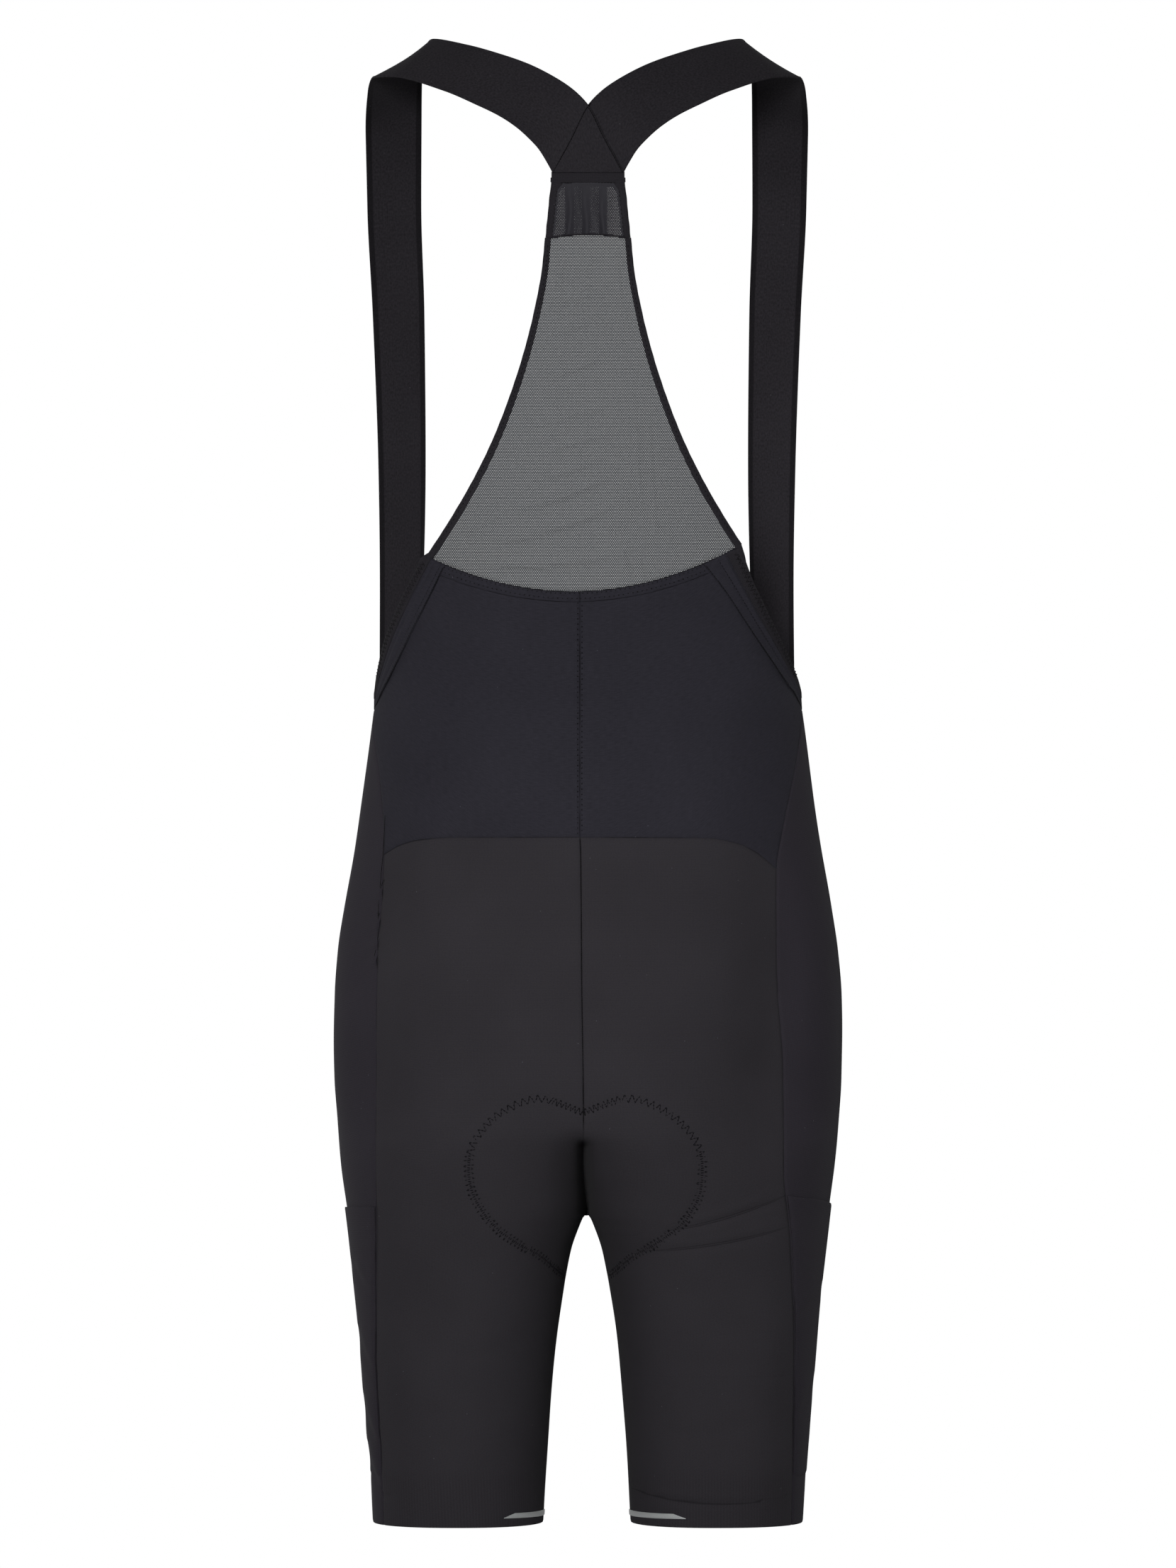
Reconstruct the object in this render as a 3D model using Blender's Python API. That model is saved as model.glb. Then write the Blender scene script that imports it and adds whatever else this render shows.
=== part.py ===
"""Cycling bib shorts, filled out with no wearer inside.

Frame: metres, +Z up. The origin lies midway between the tops of the two shoulder straps,
the back of the garment faces -Y, its front +Y, and the wearer's right side is +X.

All tables are in millimetres. "drop" is the distance below the tops of the straps, and
"girth" is a distance round one half of the body, from the centre back to the centre front.
Each half of the shorts is one smooth form: a half oval at the waist and the hips, which
parts from the other half at the seat and closes into the round of a leg under the crotch.
Panels are patches of that form between their seams.
"""

import math
from bisect import bisect
from collections import namedtuple
from functools import lru_cache

import bmesh
import bpy
from mathutils import Vector

MM = 0.001
LEFT, RIGHT = -1, 1
SIDE_NAMES = {LEFT: "left", RIGHT: "right"}

# ---------------------------------------------------------------- sizes in millimetres
SEAM = 0.3              # space between two panels at a seam
CLOTH = 1.2             # wall of the knitted panels
MESH = 1.0              # wall of the mesh panel
EDGING = 1.8            # folded elastic binding
EDGING_WIDTH = 4.2
WEBBING = 1.4           # strap elastic
BAND = 0.9              # armhole band and pocket layer
BAND_LIFT = 0.9         # the band clears the panel's facets by this
TAB = 0.5               # reflective tab
PAD = 5.0               # seat pad
PAD_LIFT = 3.5

HEM = 1002.5            # drop of the leg openings
CROTCH = 793.5          # drop of the crotch point
WAIST_SEAM = 539.0      # drop of the seam between the waist panels and the seat
ARMHOLE_LOW = 453.3     # drop of the armholes' lowest stretch, at the sides
FRONT_DIP = 15.0        # how much lower the front edge is at the centre

MESH_TOP = 139.4        # drop of the mesh panel's top edge
MESH_SEAM_LOW = 375.0   # drop of its bottom seam at the lowest point
MESH_SEAM_SHIFT = -10.0     # that point lies left of the centre line
MESH_SEAM_CURVE = 0.0025    # rise per square millimetre to the sides

YOKE_TOP, YOKE_BOTTOM = 95.9, 104.4
YOKE_HALF = 25.0
YOKE_OUT, YOKE_IN = 99.2, 94.2      # how far behind the origin its two faces lie
YOKE_ROUND = 0.8

OUTER_ROUND = 2.25      # exponent of the oval on the outer side; 2 is an ellipse

# ---------------------------------------------------------------- the body of the shorts
Section = namedtuple("Section", "drop half back front")
SECTIONS = [            # half: half the width; back, front: depths from the side line's plane
    Section(90, 152.0, 98.0, 92.0),
    Section(140, 156.0, 100.5, 98.0),
    Section(200, 157.0, 101.5, 101.0),
    Section(260, 154.0, 100.0, 102.0),
    Section(320, 148.0, 96.5, 101.0),
    Section(375, 143.5, 92.5, 100.0),
    Section(430, 141.9, 89.5, 100.0),
    Section(458, 145.6, 89.5, 100.5),
    Section(500, 151.0, 92.5, 101.0),
    Section(545, 157.7, 99.0, 100.5),
    Section(587, 165.0, 107.0, 99.0),
    Section(616, 169.3, 112.5, 97.0),
    Section(645, 171.4, 117.0, 95.0),
    Section(673, 171.8, 119.5, 93.5),
    Section(702, 171.4, 120.0, 92.0),
    Section(731, 169.4, 118.0, 90.5),
    Section(760, 167.0, 112.0, 88.5),
    Section(793.5, 162.7, 102.0, 86.0),
    Section(817, 159.9, 95.0, 83.0),
    Section(846, 157.0, 88.0, 79.5),
    Section(904, 152.0, 77.5, 72.5),
    Section(961, 147.6, 69.5, 66.5),
    Section(1002.5, 145.4, 64.5, 62.5),
]

Parting = namedtuple("Parting", "drop split gap inner_round")
PARTINGS = [            # split: 0 one body, 1 two legs; gap: half the space between the legs
    Parting(700, 0.00, 0.0, 2.25),
    Parting(722, 0.10, 0.0, 2.4),
    Parting(735, 0.30, 0.0, 2.7),
    Parting(745, 0.62, 0.0, 3.0),
    Parting(755, 0.80, 0.0, 3.1),
    Parting(765, 0.89, 0.0, 3.1),
    Parting(775, 0.945, 0.0, 3.0),
    Parting(785, 0.98, 0.0, 3.0),
    Parting(793.5, 1.00, 0.0, 2.9),
    Parting(797, 1.00, 2.6, 2.85),
    Parting(803, 1.00, 5.3, 2.8),
    Parting(817, 1.00, 10.2, 2.6),
    Parting(832, 1.00, 13.4, 2.5),
    Parting(846, 1.00, 15.8, 2.4),
    Parting(875, 1.00, 19.9, 2.3),
    Parting(904, 1.00, 22.8, 2.25),
    Parting(933, 1.00, 25.2, 2.2),
    Parting(961, 1.00, 27.1, 2.2),
    Parting(1002.5, 1.00, 29.6, 2.2),
]

# The centre line of the back leans this far to the left of the middle.
Lean = namedtuple("Lean", "drop left")
LEAN = [
    Lean(350, 5.4), Lean(535, 5.5), Lean(550, 4.9), Lean(650, 4.0), Lean(700, 3.2),
    Lean(760, 2.7), Lean(793.5, 0.9), Lean(1003, 0.7),
]

# Outer edge of the waist panels: the slanted armhole edge, then the seam to the side panel,
# which runs on down beside the seat. x is the distance from the centre line, seen from behind.
SideSeam = namedtuple("SideSeam", "drop x")
SIDE_SEAM_BACK = {
    LEFT: [
        SideSeam(343, 103.5), SideSeam(351, 108.6), SideSeam(384, 126.8), SideSeam(410, 136.9),
        SideSeam(433, 141.6), SideSeam(453, 144.6), SideSeam(465, 145.0), SideSeam(494, 141.0),
        SideSeam(542, 137.2), SideSeam(574, 137.8), SideSeam(625, 141.6), SideSeam(740, 142.0),
        SideSeam(800, 141.8), SideSeam(880, 142.6), SideSeam(960, 139.0), SideSeam(1003, 137.5),
    ],
    RIGHT: [
        SideSeam(343, 102.2), SideSeam(366, 110.4), SideSeam(387, 119.8), SideSeam(410, 130.8),
        SideSeam(427, 138.2), SideSeam(436, 141.4), SideSeam(453, 144.6), SideSeam(486, 141.0),
        SideSeam(524, 133.5), SideSeam(562, 127.4), SideSeam(631, 127.8), SideSeam(693, 131.4),
        SideSeam(765, 131.6), SideSeam(809, 135.8), SideSeam(884, 138.8), SideSeam(1003, 137.5),
    ],
}
SIDE_SEAM_FRONT = [
    SideSeam(453, 143.6), SideSeam(500, 139.0), SideSeam(560, 135.0), SideSeam(640, 138.0),
    SideSeam(740, 140.5), SideSeam(820, 139.5), SideSeam(900, 136.5), SideSeam(1003, 132.0),
]

# Lower seam of the waist panels: across runs from 0 at the centre back to 1 at the side seam.
WaistSeam = namedtuple("WaistSeam", "across drop")
WAIST_CURVE = {
    LEFT: [
        WaistSeam(0.0, 539.0), WaistSeam(0.6, 539.2), WaistSeam(0.78, 541.0),
        WaistSeam(0.88, 544.0), WaistSeam(1.0, 551.0),
    ],
    RIGHT: [
        WaistSeam(0.0, 539.0), WaistSeam(0.6, 539.6), WaistSeam(0.75, 543.0),
        WaistSeam(0.87, 549.5), WaistSeam(1.0, 560.5),
    ],
}
WAIST_FADE = 110.0      # the seat's rows are level again this far below that seam

# Inner edge of the armhole bands.
ARMHOLE_BAND = {
    LEFT: [SideSeam(345, 87.0), SideSeam(368, 99.0), SideSeam(396, 114.3), SideSeam(441, 137.5)],
    RIGHT: [SideSeam(338, 72.0), SideSeam(360, 85.4), SideSeam(400, 109.5), SideSeam(445, 139.5)],
}
BAND_LEAST = 0.04       # least share of the panel's width that the band covers

# Outer edge of the mesh panel's binding.
MESH_EDGE = [
    SideSeam(139, 28.8), SideSeam(160, 30.8), SideSeam(189, 36.2), SideSeam(217, 43.3),
    SideSeam(245, 52.4), SideSeam(274, 63.8), SideSeam(302, 77.7), SideSeam(330, 94.4),
    SideSeam(352, 109.2),
]
YOKE_MESH_HALF = (20.2, 24.8)       # at the top and at the bottom
YOKE_EDGE_HALF = (25.0, 28.5)

# ---------------------------------------------------------------- the straps
# Both edges of the webbing, and how many rows of cloth lead to each place.
FrontStrap = namedtuple("FrontStrap", "rows neck_x neck_y neck_drop arm_x arm_y arm_drop")
FRONT_STRAP = [         # from the front waist up to the shoulder
    FrontStrap(3, 112.1, 80, 380, 140.7, 52, 385),
    FrontStrap(3, 110.6, 103, 285, 142.8, 83, 285),
    FrontStrap(4, 111.6, 107, 180, 146.9, 93, 180),
    FrontStrap(3, 113.6, 95, 108, 150.6, 87, 108),
    FrontStrap(3, 113.0, 72, 56, 151.2, 64, 60),
    FrontStrap(4, 111.8, 40, 20, 148.6, 22, 34.5),
    FrontStrap(3, 108.6, 17, 5.5, 144.0, 0.5, 26),
]
BackStrap = namedtuple("BackStrap", "rows neck_x neck_drop arm_x arm_drop")
BACK_STRAP = [          # from the top of the shoulder to the yoke; the depth follows the back
    BackStrap(3, 103.4, 0.0, 130.0, 27.0),
    BackStrap(3, 78.4, 6.5, 95.8, 38.6),
    BackStrap(3, 58.0, 13.6, 74.5, 49.0),
    BackStrap(2, 40.6, 20.7, 59.5, 57.0),
    BackStrap(3, 23.5, 30.0, 48.0, 65.0),
    BackStrap(2, 9.0, 40.3, 39.5, 72.8),
    BackStrap(2, -1.5, 52.0, 33.0, 80.0),
    BackStrap(2, -11.5, 72.0, 28.0, 88.0),
    BackStrap(2, -24.3, 95.6, 23.8, 95.6),
]
STRAP_FRONT_X = (119.5, 140.4)      # where its edges meet the front waist
STRAP_LAP = 2.2         # the right strap passes this far under the left one
STRAP_SHIFT = 0.8       # both straps hang this far to the left
STRAP_COLUMNS = 2
SHOULDER_SLOPE = 0.6    # fall of the shoulder line outwards
SHOULDER_X = 104.4      # where that line is level with the origin
SHOULDER_BACK = 98.0    # depth of the upper back behind the shoulder line
SHOULDER_REACH = 150.0  # drop over which the shoulder rounds down to it

# ---------------------------------------------------------------- rows and columns of cloth
ARMHOLE_ROWS = 4        # rows of a waist panel beside the armhole
WAIST_ROWS = 8          # all its rows
SEAT_DROPS = [
    539, 574, 609, 643, 674, 700, 720, 735, 746, 757, 768, 778, 787, 793.5,
    799, 807, 819, 838, 866, 900, 936, 970, 1002.5,
]
SEAT_COLUMNS = [0, 0.04, 0.09, 0.15, 0.22, 0.30, 0.39, 0.49, 0.60, 0.72, 0.86, 1]
SIDE_COLUMNS = [0, 0.25, 0.5, 0.75, 1]
FRONT_COLUMNS = [0, 0.20, 0.38, 0.53, 0.65, 0.75, 0.84, 0.92, 1]
MESH_ROWS = 10
MESH_COLUMNS = 14

POCKET_MOUTH = {LEFT: (786.0, 793.0), RIGHT: (778.0, 797.0)}    # at the back seam, at the front
POCKET_BOTTOM = 972
POCKET_INSET = 0.012    # share of the side panel's width left bare at each seam

TAB_END = {LEFT: 56.0, RIGHT: 66.0}     # distance of the pointed end from the centre line
TAB_TOP = (993.0, 992.0)    # drop of the upper edge at the inseam and before the point
TAB_BOTTOM = (998.2, 996.8)
TAB_START = 0.01        # share of the panel's width left bare at the inseam
TAB_POINT = 0.04        # share that the slanted end takes up
TAB_BLUNT = 0.6         # height of that end

PadEdge = namedtuple("PadEdge", "seam x drop")
PAD_BACK = [            # seam: drop along the centre seam; x, drop: the outline beside it
    PadEdge(722, 30.0, 712.5), PadEdge(730, 55.4, 722), PadEdge(738, 67.9, 733),
    PadEdge(747, 75.5, 745), PadEdge(756, 77.8, 759), PadEdge(765, 76.5, 773),
    PadEdge(774, 70.0, 788), PadEdge(782, 59.0, 801), PadEdge(788, 46.0, 810.5),
    PadEdge(793.5, 31.0, 819.5),
]
PAD_LOW = 836           # drop of its lowest point, at the inseam
PAD_FRONT = [
    PadEdge(793.5, 40.0, 812), PadEdge(786, 50.0, 792), PadEdge(774, 54.0, 768),
    PadEdge(758, 54.0, 742), PadEdge(740, 50.0, 722), PadEdge(722, 36.0, 706),
]
PAD_COLUMNS = 6

# ---------------------------------------------------------------- colours
Finish = namedtuple("Finish", "name red green blue roughness")
SHELL = Finish("knitted_shell", 0.030, 0.028, 0.031, 0.85)
WAIST = Finish("waist_jersey", 0.024, 0.024, 0.029, 0.85)
SIDE = Finish("side_jersey", 0.027, 0.026, 0.032, 0.85)
ELASTIC = Finish("elastic_webbing", 0.019, 0.018, 0.020, 0.8)
NET = Finish("open_mesh", 0.14, 0.14, 0.145, 0.8)
BINDING = Finish("edge_elastic", 0.017, 0.017, 0.020, 0.8)
REFLECTIVE = Finish("reflective_film", 0.20, 0.21, 0.21, 0.4)
FOAM = Finish("pad_foam", 0.05, 0.05, 0.06, 0.9)


# ---------------------------------------------------------------- curves through tables
def smooth(places, values):
    """A smooth function through the given values, with no overshoot between them."""
    steps = [
        (values[k + 1] - values[k]) / (places[k + 1] - places[k])
        for k in range(len(places) - 1)
    ]
    slopes = [steps[0]]
    for before, after in zip(steps, steps[1:]):
        slopes.append(0 if before * after <= 0 else 2 * before * after / (before + after))
    slopes.append(steps[-1])

    def value(place):
        k = min(max(bisect(places, place) - 1, 0), len(steps) - 1)
        width = places[k + 1] - places[k]
        t = min(max((place - places[k]) / width, 0), 1)
        rise = values[k + 1] - values[k]
        lean_in = slopes[k] * width
        lean_out = slopes[k + 1] * width
        bend = (lean_in + lean_out - 2 * rise) * t + (3 * rise - 2 * lean_in - lean_out)
        return values[k] + (bend * t + lean_in) * t

    return value


def column(rows, name, by="drop"):
    """One column of a table, as a smooth function of another."""
    return smooth([getattr(row, by) for row in rows], [getattr(row, name) for row in rows])


def mix(start, end, t):
    return start + (end - start) * t


lean_at = column(LEAN, "left")
half_at = column(SECTIONS, "half")
back_at = column(SECTIONS, "back")
front_at = column(SECTIONS, "front")
split_at = column(PARTINGS, "split")
gap_at = column(PARTINGS, "gap")
inner_round_at = column(PARTINGS, "inner_round")
side_back_x = {side: column(SIDE_SEAM_BACK[side], "x") for side in (LEFT, RIGHT)}
side_front_x = column(SIDE_SEAM_FRONT, "x")
band_x = {side: column(ARMHOLE_BAND[side], "x") for side in (LEFT, RIGHT)}
waist_drop = {side: column(WAIST_CURVE[side], "drop", "across") for side in (LEFT, RIGHT)}
mesh_edge_x = column(MESH_EDGE, "x")


# ---------------------------------------------------------------- the form
def bulge(value, exponent):
    """cos or sin of an angle, bent from an ellipse towards a box."""
    return math.copysign(abs(value) ** (2 / exponent), value)


@lru_cache(maxsize=None)
def ring(drop):
    """(x, y) points round one half at this drop, centre back to centre front, and girths."""
    half, gap, split = half_at(drop), gap_at(drop), split_at(drop)
    inner_round = inner_round_at(drop)
    radius = (half - gap) / (1 + split)
    centre = gap + split * radius
    back, front = back_at(drop), front_at(drop)
    side_line = (front - back) / 4
    last = math.pi / 2
    if split > 0:
        last = math.acos(-min(split ** (inner_round / 2), 1))
    count = 180
    points = []
    for k in range(count + 1):
        angle = mix(-last, last, k / count)
        across, along = math.cos(angle), math.sin(angle)
        exponent = OUTER_ROUND if across > 0 else inner_round
        depth = front - side_line if along > 0 else back + side_line
        x = max(centre + radius * bulge(across, exponent), SEAM / 2)
        points.append((x, side_line + depth * bulge(along, exponent)))
    girths = [0.0]
    for (x0, y0), (x1, y1) in zip(points, points[1:]):
        girths.append(girths[-1] + math.hypot(x1 - x0, y1 - y0))
    return points, girths


def half_girth(drop):
    return ring(round(drop, 3))[1][-1]


def body(drop, share):
    """The point of the right half at this drop, share of the half girth from the back."""
    points, girths = ring(round(drop, 3))
    girth = min(max(share, 0), 1) * girths[-1]
    k = min(max(bisect(girths, girth) - 1, 0), len(points) - 2)
    t = (girth - girths[k]) / max(girths[k + 1] - girths[k], 1e-9)
    x = mix(points[k][0], points[k + 1][0], t)
    y = mix(points[k][1], points[k + 1][1], t)
    return Vector((x, y, -drop))


def share_at(drop, x, front=False):
    """The share of the half girth at which the form is this far from the centre line."""
    points, girths = ring(round(drop, 3))
    x = min(x, 0.9985 * half_at(drop))
    widest = max(range(len(points)), key=lambda k: points[k][0])
    step = 1 if front else -1
    k = widest
    while points[k + step][0] > x:
        k += step
    t = (points[k][0] - x) / (points[k][0] - points[k + step][0])
    return mix(girths[k], girths[k + step], t) / girths[-1]


def inner_share(drop, x, front=False):
    """Like share_at, but the place of that x nearest to the centre seam or the inseam."""
    points, girths = ring(round(drop, 3))
    order = range(len(points) - 1, 0, -1) if front else range(len(points))
    k = next(k for k in order if points[k][0] > x)
    return girths[k] / girths[-1]


def outward(drop, share):
    """The direction straight out of the cloth there."""
    step = 0.004
    low, high = max(share - step, 0), min(share + step, 1)
    round_body = body(drop, high) - body(drop, low)
    down = body(drop + 0.5, share) - body(drop - 0.5, share)
    return down.cross(round_body).normalized()


def back_y(x, drop):
    """Depth of the general figure's upper back, used by the mesh panel and its edges."""
    half, back, front = half_at(drop), back_at(drop), front_at(drop)
    side_line = (front - back) / 4
    rest = 1 - (abs(x) / half) ** OUTER_ROUND
    return side_line - (back + side_line) * rest ** (1 / OUTER_ROUND)


def back_point(x, drop):
    return Vector((x, back_y(x, drop), -drop))


def back_outward(x, drop):
    across = back_point(x + 0.5, drop) - back_point(x - 0.5, drop)
    down = back_point(x, drop + 0.5) - back_point(x, drop - 0.5)
    return down.cross(across).normalized()


# ---------------------------------------------------------------- solids
def material(finish):
    found = bpy.data.materials.get(finish.name)
    if found:
        return found
    made = bpy.data.materials.new(finish.name)
    made.use_nodes = True
    shader = made.node_tree.nodes["Principled BSDF"]
    colour = (finish.red, finish.green, finish.blue, 1)
    shader.inputs["Base Color"].default_value = colour
    shader.inputs["Roughness"].default_value = finish.roughness
    made.diffuse_color = colour
    return made


def add_object(name, bm, finish):
    """Makes the bmesh, in millimetres, an object in metres."""
    bmesh.ops.recalc_face_normals(bm, faces=bm.faces)
    bmesh.ops.scale(bm, vec=(MM, MM, MM), verts=bm.verts)
    mesh = bpy.data.meshes.new(name)
    bm.to_mesh(mesh)
    bm.free()
    mesh.materials.append(material(finish))
    mesh.shade_smooth()
    mesh.set_sharp_from_angle(angle=math.radians(40))
    obj = bpy.data.objects.new(name, mesh)
    bpy.context.scene.collection.objects.link(obj)
    return obj


def wall(name, grids, thickness, finish, lift=0.0):
    """Cloth of this thickness. A grid is rows of (point, outward direction) pairs."""
    bm = bmesh.new()
    inward = bm.verts.layers.float_vector.new("inward")
    for grid in grids:
        rows = []
        for places in grid:
            row = []
            for point, out in places:
                vert = bm.verts.new(point + out * lift)
                vert[inward] = -out
                row.append(vert)
            rows.append(row)
        for upper, lower in zip(rows, rows[1:]):
            for k in range(len(upper) - 1):
                bm.faces.new((upper[k], upper[k + 1], lower[k + 1], lower[k]))
    bmesh.ops.remove_doubles(bm, verts=bm.verts, dist=0.01)
    grown = bmesh.ops.extrude_face_region(bm, geom=bm.faces[:], use_keep_orig=True)
    for vert in grown["geom"]:
        if isinstance(vert, bmesh.types.BMVert):
            vert.co += vert[inward] * thickness
    return add_object(name, bm, finish)


def on_body(side, drop, share):
    """(point, outward direction) of the left or the right half."""
    mirror = Vector((side, 1, 1))
    point = body(drop, share) * mirror
    point.x -= lean_at(drop) * (1 - (point.x / half_at(drop)) ** 2) ** 2
    return point, outward(drop, share) * mirror


# ---------------------------------------------------------------- waist, seat, sides, fronts
def mesh_seam_drop(x):
    """Drop of the seam under the mesh panel; x is signed, right is plus."""
    return MESH_SEAM_LOW - MESH_SEAM_CURVE * (x - MESH_SEAM_SHIFT) ** 2


def seam_share(drop):
    return SEAM / 2 / half_girth(drop)


def waist_place(side, u, v):
    """(drop, share) on a waist panel: u from the centre back out, v from the mesh down."""
    outer = side_back_x[side]
    top = MESH_SEAM_LOW
    for _ in range(12):
        edge = share_at(top, outer(top)) * u
        top = mesh_seam_drop(on_body(side, top, edge)[0].x)
    drop = mix(top + SEAM / 2, waist_drop[side](u) - SEAM / 2, v)
    first = seam_share(drop)
    return drop, mix(first, share_at(drop, outer(drop)) - 2 * first, u)


def waist_rows(side):
    """The rows as values of v; one of them ends at the armhole's lowest point."""
    top, bottom = (waist_place(side, 1, v)[0] for v in (0, 1))
    corner = (ARMHOLE_LOW - top) / (bottom - top)
    above = [corner * k / ARMHOLE_ROWS for k in range(ARMHOLE_ROWS)]
    below = WAIST_ROWS - ARMHOLE_ROWS
    return above + [mix(corner, 1, k / below) for k in range(below + 1)]


def add_waist_panel(side):
    grid = [
        [on_body(side, *waist_place(side, u, v)) for u in SEAT_COLUMNS]
        for v in waist_rows(side)
    ]
    return wall(f"waist_panel_{SIDE_NAMES[side]}", [grid], CLOTH, WAIST)


def add_armhole_band(side):
    """The stitched band that lies on the slanted edge, from the mesh down to the side."""
    rows = []
    for v in waist_rows(side)[:ARMHOLE_ROWS + 1]:
        drop, outer = waist_place(side, 1, v)
        inner_u = share_at(drop, band_x[side](drop)) / outer
        inner_u = min(inner_u, 1 - BAND_LEAST)
        columns = [mix(inner_u, 1, k / 4) for k in range(5)]
        rows.append([on_body(side, *waist_place(side, u, v)) for u in columns])
    return wall(f"armhole_band_{SIDE_NAMES[side]}", [rows], BAND, BINDING, BAND_LIFT + BAND)


def seat_place(side, u, row_drop):
    """(drop, share) on a seat panel; rows start along the curved waist seam."""
    fade = max(0, 1 - (row_drop - WAIST_SEAM) / WAIST_FADE)
    drop = row_drop + (waist_drop[side](u) - WAIST_SEAM + SEAM / 2) * fade
    first = seam_share(drop)
    return drop, mix(first, share_at(drop, side_back_x[side](drop)) - first, u)


def add_seat_panel(side):
    grid = [
        [on_body(side, *seat_place(side, u, row_drop)) for u in SEAT_COLUMNS]
        for row_drop in SEAT_DROPS
    ]
    return wall(f"seat_panel_{SIDE_NAMES[side]}", [grid], CLOTH, SHELL)


def side_drops(side):
    """Drops of the rows that the side and front panels share with their back neighbours."""
    below_armhole = waist_rows(side)[ARMHOLE_ROWS:-1]
    beside_waist = [waist_place(side, 1, v)[0] for v in below_armhole]
    return beside_waist + [seat_place(side, 1, row_drop)[0] for row_drop in SEAT_DROPS]


def side_place(side, u, drop):
    first = seam_share(drop)
    back = share_at(drop, side_back_x[side](drop)) + first
    front = share_at(drop, side_front_x(drop), front=True) - first
    return drop, mix(back, front, u)


def add_side_panel(side):
    grid = [
        [on_body(side, *side_place(side, u, drop)) for u in SIDE_COLUMNS]
        for drop in side_drops(side)
    ]
    return wall(f"side_panel_{SIDE_NAMES[side]}", [grid], CLOTH, SIDE)


def add_front_panel(side):
    rows = []
    for drop in side_drops(side):
        fade = max(0, 1 - (drop - ARMHOLE_LOW) / WAIST_FADE)
        row = []
        for u in FRONT_COLUMNS:
            lowered = drop + FRONT_DIP * u * u * fade
            first = seam_share(lowered)
            start = share_at(lowered, side_front_x(lowered), front=True) + first
            row.append(on_body(side, lowered, mix(start, 1 - first, u)))
        rows.append(row)
    return wall(f"front_panel_{SIDE_NAMES[side]}", [rows], CLOTH, SHELL)


# ---------------------------------------------------------------- what lies on the panels
def add_leg_pocket(side):
    at_back, at_front = POCKET_MOUTH[side]
    columns = [mix(POCKET_INSET, 1 - POCKET_INSET, u) for u in SIDE_COLUMNS]
    drops = [drop for drop in side_drops(side) if CROTCH - 1 < drop < POCKET_BOTTOM + 1]
    mouth = [on_body(side, *side_place(side, u, mix(at_back, at_front, u))) for u in columns]
    rows = [[on_body(side, *side_place(side, u, drop)) for u in columns] for drop in drops]
    return wall(f"leg_pocket_{SIDE_NAMES[side]}", [[mouth] + rows], BAND, SIDE, BAND + 0.6)


def add_hem_reflector(side):
    """A tapered tab on the seat panel, from the inseam to a point on the back of the leg."""
    middle = mix(TAB_TOP[0], TAB_BOTTOM[1], 0.5)
    end = inner_share(middle, TAB_END[side]) / seat_place(side, 1, middle)[1]
    columns = [u for u in SEAT_COLUMNS if 0 < u < end - 2 * TAB_POINT]
    columns = [TAB_START] + columns + [end - TAB_POINT, end]
    top, bottom = [], []
    for u in columns:
        t = u / end
        upper, lower = mix(*TAB_TOP, t), mix(*TAB_BOTTOM, t)
        if u == end:
            upper = lower - TAB_BLUNT
        top.append(on_body(side, *seat_place(side, u, upper)))
        bottom.append(on_body(side, *seat_place(side, u, lower)))
    name = f"hem_reflector_{SIDE_NAMES[side]}"
    return wall(name, [[top, bottom]], TAB, REFLECTIVE, TAB + 0.45)


def pad_rows(side, edges, front):
    """Rows of one pad half from the centre seam out to its outline, on the back or front."""
    rows = []
    for edge in edges:
        outline = inner_share(edge.drop, edge.x, front)
        row = []
        for j in range(PAD_COLUMNS + 1):
            u = j / PAD_COLUMNS
            share = mix(1 if front else 0, outline, u)
            row.append(on_body(side, mix(edge.seam, edge.drop, u), share))
        rows.append(row)
    return rows


def add_seat_pad(side):
    crotch = [on_body(side, mix(CROTCH, PAD_LOW, j / PAD_COLUMNS), 0)
              for j in range(PAD_COLUMNS + 1)]
    back = pad_rows(side, PAD_BACK, front=False)
    front = pad_rows(side, PAD_FRONT, front=True)
    back[-1][0] = front[0][0] = crotch[0]
    grids = [back + [crotch], [crotch] + front]
    return wall(f"seat_pad_{SIDE_NAMES[side]}", grids, PAD, FOAM, -CLOTH - PAD_LIFT)


# ---------------------------------------------------------------- mesh panel and its edges
def mesh_place(u, v, inset):
    """(x, drop) on the mesh panel: u from -1 to 1 across, v down, inset from the outer edge."""
    bottom = MESH_SEAM_LOW
    for _ in range(12):
        bottom = mesh_seam_drop(u * (mesh_edge_x(bottom) - inset)) - SEAM
    drop = mix(MESH_TOP, bottom, v)
    return u * (mesh_edge_x(drop) - inset), drop


def on_back(x, drop):
    return back_point(x, drop), back_outward(x, drop)


def add_back_mesh():
    inset = EDGING_WIDTH + SEAM
    grid = [
        [on_back(*mesh_place(2 * j / MESH_COLUMNS - 1, i / MESH_ROWS, inset))
         for j in range(MESH_COLUMNS + 1)]
        for i in range(MESH_ROWS + 1)
    ]
    return wall("back_mesh", [grid], MESH, NET)


def add_mesh_edge(side):
    rows = []
    for i in range(MESH_ROWS + 1):
        v = i / MESH_ROWS
        inner = mesh_place(side, v, EDGING_WIDTH)
        outer = mesh_place(side, v, 0)
        rows.append([on_back(*inner), on_back(*outer)])
    lift = (EDGING - MESH) / 2
    return wall(f"mesh_edge_{SIDE_NAMES[side]}", [rows], EDGING, BINDING, lift)


def yoke_row(halves, v):
    drop = mix(YOKE_BOTTOM + SEAM, MESH_TOP - SEAM, v)
    return mix(*halves, v), drop


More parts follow.
